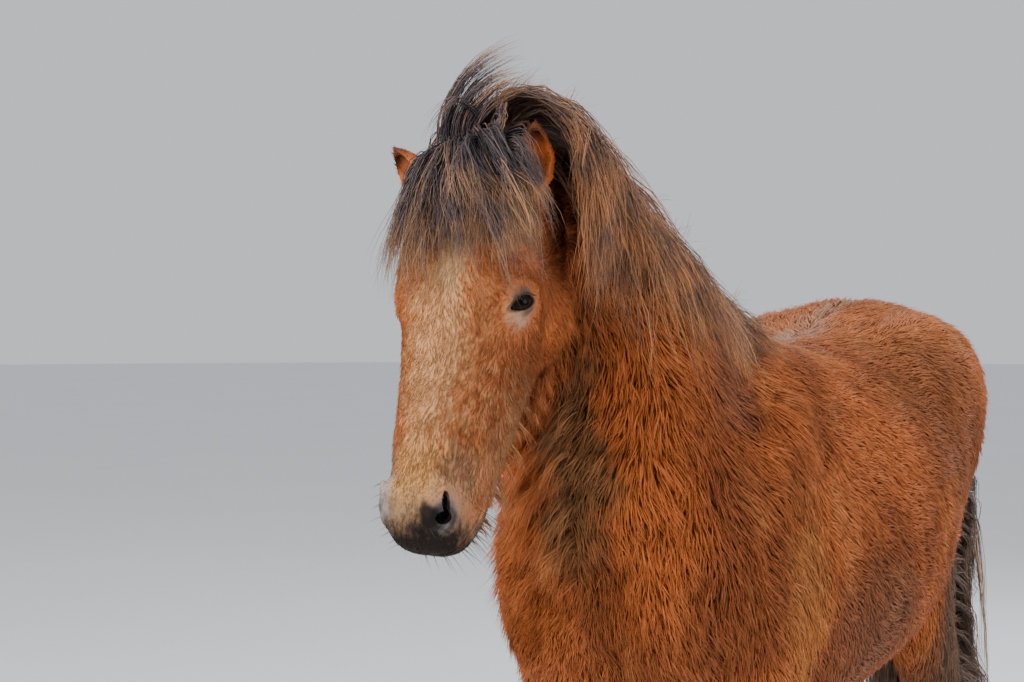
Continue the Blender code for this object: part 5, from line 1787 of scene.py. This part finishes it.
class HORSE_OT_coat(bpy.types.Operator):
    """Grow the coat as solid tufts that lie along the body"""

    bl_idname = "horse.coat"
    bl_label = "Coat"

    def execute(self, context):
        sizes = context.scene.horse_sizes
        draw = np.random.default_rng(sizes.seed)
        ground = Ground(bpy.data.objects["skin"])
        density = coat_sizes(ground.middles)[3] * sizes.thickness
        density[bare_places(ground.middles)] = 0
        roots, normals, uv = ground.sown(density, draw)
        grows = ~bare_places(roots)
        roots, normals, uv = roots[grows], normals[grows], uv[grows]
        where = regions(roots)
        body = coat_material("body_coat", 0.80, 1.14, 0.5)
        face = coat_material("face_coat", 0.76, 1.12, 0.5)
        for number, region_name in enumerate(COAT_REGIONS):
            for side, word in SIDES:
                mine = (where == number) & ((roots[:, 0] >= 0) == (side > 0))
                if not mine.any():
                    continue
                name = f"coat_{region_name}_{word}"
                piece = settled(tufts(name, roots[mine], normals[mine], uv[mine], draw, short=number < 4))
                finished(piece, face if number < 2 else body)
        return {"FINISHED"}


def hair_piece(name, ground, guides, per_guide, width, draw, material, slot, **shape):
    """A piece of long hair combed round its guides."""
    paths, normals, widths, uv, shades = combed(ground, guides, per_guide, width, draw, **shape)
    return finished(settled(strands(name, paths, normals, widths, uv, shades)), material)


class HORSE_OT_mane(bpy.types.Operator):
    """Comb the mane, the forelock and the windblown tuft"""

    bl_idname = "horse.mane"
    bl_label = "Mane"

    def execute(self, context):
        seed = context.scene.horse_sizes.seed
        colours = context.scene.horse_colours
        ground = Ground(bpy.data.objects["skin"])
        material = long_hair_material("mane_hair", colours.mane, colours.mane_tips)
        forelock = long_hair_material("forelock_hair", linear(80, 70, 72), linear(158, 116, 80), start=0.55)
        draw, spread = random.Random(seed), np.random.default_rng(seed + 1)
        tree = ground.earless
        mane = mane_guides(tree, draw)
        hair_piece("mane_left", ground, mane[:140], 25, 0.0029, spread, material, "body_coat", curl=0.010, fray=0.015, gather=0.55)
        hair_piece("mane_right", ground, mane[140:], 25, 0.0029, spread, material, "body_coat", curl=0.010, fray=0.015, gather=0.55)
        hair_piece("crest_hair", ground, crest_guides(tree, draw), 13, 0.0018, spread, material, "body_coat", curl=0.008, fray=0.014, gather=0.7)
        hair_piece("forelock", ground, forelock_guides(tree, draw), 22, 0.0021, spread, forelock, "face_coat", curl=0.006, fray=0.010)
        hair_piece("blown_tuft", ground, blown_guides(tree, draw), 16, 0.0019, spread, forelock, "face_coat", fray=0.009)
        return {"FINISHED"}


class HORSE_OT_tail(bpy.types.Operator):
    """Comb the tail"""

    bl_idname = "horse.tail"
    bl_label = "Tail"

    def execute(self, context):
        seed = context.scene.horse_sizes.seed
        colours = context.scene.horse_colours
        ground = Ground(bpy.data.objects["skin"])
        frost = ((0.19, 0.66, 1.00), (0.09, 0.10, 0.11), (200, 190, 196))
        material = long_hair_material("tail_hair", colours.tail, linear(178, 148, 120), frost)
        guides = tail_guides(ground.tree, random.Random(seed + 2))
        spread = np.random.default_rng(seed + 3)
        tail = hair_piece("tail_hair", ground, guides, 23, 0.0034, spread, material, "tail_hair", curl=0.003, fray=0.008)
        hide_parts("tail")
        matted = matted_guides(ground.tree, random.Random(seed + 6))
        hair_piece("matted_hair", ground, matted, 15, 0.0024, spread, material, "tail_hair", curl=0.008, fray=0.014, gather=0.8)
        return {"FINISHED"}


class HORSE_OT_feathers(bpy.types.Operator):
    """Add the feathers at the fetlocks, the beard, whiskers and lashes"""

    bl_idname = "horse.feathers"
    bl_label = "Feathers and whiskers"

    def execute(self, context):
        seed = context.scene.horse_sizes.seed
        ground = Ground(bpy.data.objects["skin"])
        draw, spread = random.Random(seed + 4), np.random.default_rng(seed + 5)
        long_coat = coat_material("long_coat", 0.62, 1.25, 0.8)
        hair_piece("feathers", ground, feather_guides(ground.tree, draw), 12, 0.0020, spread, long_coat, "body_coat", fray=0.004)
        hair_piece("beard", ground, beard_guides(ground.tree, draw), 11, 0.0015, spread, long_coat, "face_coat", fray=0.006)
        hair_piece("ruff", ground, ruff_guides(ground.tree, draw), 16, 0.0018, spread, long_coat, "body_coat", fray=0.010)
        whiskers = long_hair_material("whiskers", linear(70, 58, 48), linear(170, 150, 125))
        finished(settled(strands("whiskers", *bristles(ground, draw))), whiskers)
        return {"FINISHED"}


class HORSE_OT_eyes(bpy.types.Operator):
    """Build the eyes"""

    bl_idname = "horse.eyes"
    bl_label = "Eyes"

    def execute(self, context):
        for side, word in SIDES:
            bm = bmesh.new()
            ball(bm, on_head(EYE_AT, side), [EYE] * 3, fine=5)
            look, _ = eye_axes(side)
            middle = on_head(EYE_AT, side)
            for v in bm.verts:
                share = (v.co - middle).normalized().dot(look)
                v.co += look * 0.0012 * max(0.0, (share - 0.80) / 0.20) ** 1.5
            bmesh.ops.transform(bm, verts=bm.verts, matrix=head_frame())
            eye = settled(placed(f"eyeball_{word}", bm))
            eye.data.shade_smooth()
            finished(eye, eye_material(side))
            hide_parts(f"eye_{word}")
        return {"FINISHED"}


class HORSE_OT_hooves(bpy.types.Operator):
    """Build the hooves"""

    bl_idname = "horse.hooves"
    bl_label = "Hooves"

    def execute(self, context):
        material = hoof_material()
        for (x, y), name in zip(feet(), ("foreleg_left", "foreleg_right", "hindleg_left", "hindleg_right")):
            limb, word = name.split("_")
            piece = hoof(x, y)
            piece.name = f"horn_{name}"
            smooth = piece.modifiers.new("round", "BEVEL")
            smooth.width = 0.0025
            smooth.segments = 3
            smooth.limit_method = "ANGLE"
            applied(piece)
            settled(piece)
            piece.data.shade_smooth()
            finished(piece, material)
            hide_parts(f"{limb}_hoof_{word}")
        return {"FINISHED"}


class HORSE_OT_stage(bpy.types.Operator):
    """Set the floor, the soft lights and the camera"""

    bl_idname = "horse.stage"
    bl_label = "Stage"

    def execute(self, context):
        bm = bmesh.new()
        bmesh.ops.create_circle(bm, cap_ends=True, segments=96, radius=40)
        floor = placed("floor", bm)
        floor.data.materials.append(floor_material())

        world = bpy.data.worlds.new("soft_light")
        world.use_nodes = True
        world.node_tree.nodes["Background"].inputs["Color"].default_value = (0.80, 0.83, 0.88, 1)
        world.node_tree.nodes["Background"].inputs["Strength"].default_value = 0.85
        context.scene.world = world
        for name, place, power, size, colour in LIGHTS:
            data = bpy.data.lights.new(name, "AREA")
            data.shape = "DISK"
            data.size = size
            data.energy = power
            data.color = colour
            light = bpy.data.objects.new(name, data)
            light.location = place
            light.rotation_euler = (Vector((0, 0, 0.9)) - Vector(place)).to_track_quat("-Z", "Y").to_euler()
            context.scene.collection.objects.link(light)

        around, up, distance = math.radians(29.9), math.radians(1.14), 3.213
        back = Vector((math.sin(around) * math.cos(up), -math.cos(around) * math.cos(up), math.sin(up)))
        data = bpy.data.cameras.new("camera")
        data.lens = 63.28
        data.sensor_width = 36
        camera = bpy.data.objects.new("camera", data)
        camera.location = Vector((-0.371, -0.3, 1.300)) + designed_to_frame() + back * distance
        camera.rotation_euler = (-back).to_track_quat("-Z", "Y").to_euler()
        context.scene.collection.objects.link(camera)
        context.scene.camera = camera
        return {"FINISHED"}


LIGHTS = (
    ("key", (-2.6, -4.6, 4.2), 420, 3.5, (1.0, 0.97, 0.93)),
    ("side", (4.6, -1.0, 3.0), 170, 3.5, (0.95, 0.97, 1.0)),
    ("back", (0.5, 4.5, 3.8), 110, 3.0, (1.0, 1.0, 1.0)),
)


class HORSE_PT_pieces(bpy.types.Panel):
    """The horse's pieces in the order they are made"""

    bl_idname = "HORSE_PT_pieces"
    bl_label = "Icelandic horse"
    bl_space_type = "VIEW_3D"
    bl_region_type = "UI"
    bl_category = "Horse"

    def draw(self, context):
        for group in (context.scene.horse_sizes, context.scene.horse_colours):
            for key in group.__annotations__:
                self.layout.prop(group, key)
        for piece in PIECES:
            self.layout.operator(piece.bl_idname)


PIECES = (
    HORSE_OT_skin,
    HORSE_OT_coat,
    HORSE_OT_mane,
    HORSE_OT_tail,
    HORSE_OT_feathers,
    HORSE_OT_eyes,
    HORSE_OT_hooves,
    HORSE_OT_stage,
)
CLASSES = (HorseColours, HorseSizes, *PIECES, HORSE_PT_pieces)


def register():
    for made in CLASSES:
        bpy.utils.register_class(made)
    bpy.types.Scene.horse_sizes = PointerProperty(type=HorseSizes)
    bpy.types.Scene.horse_colours = PointerProperty(type=HorseColours)


def unregister():
    del bpy.types.Scene.horse_colours
    del bpy.types.Scene.horse_sizes
    for made in reversed(CLASSES):
        bpy.utils.unregister_class(made)


def main():
    register()
    for piece in PIECES:
        group, name = piece.bl_idname.split(".")
        getattr(getattr(bpy.ops, group), name)()


if __name__ == "__main__":
    main()
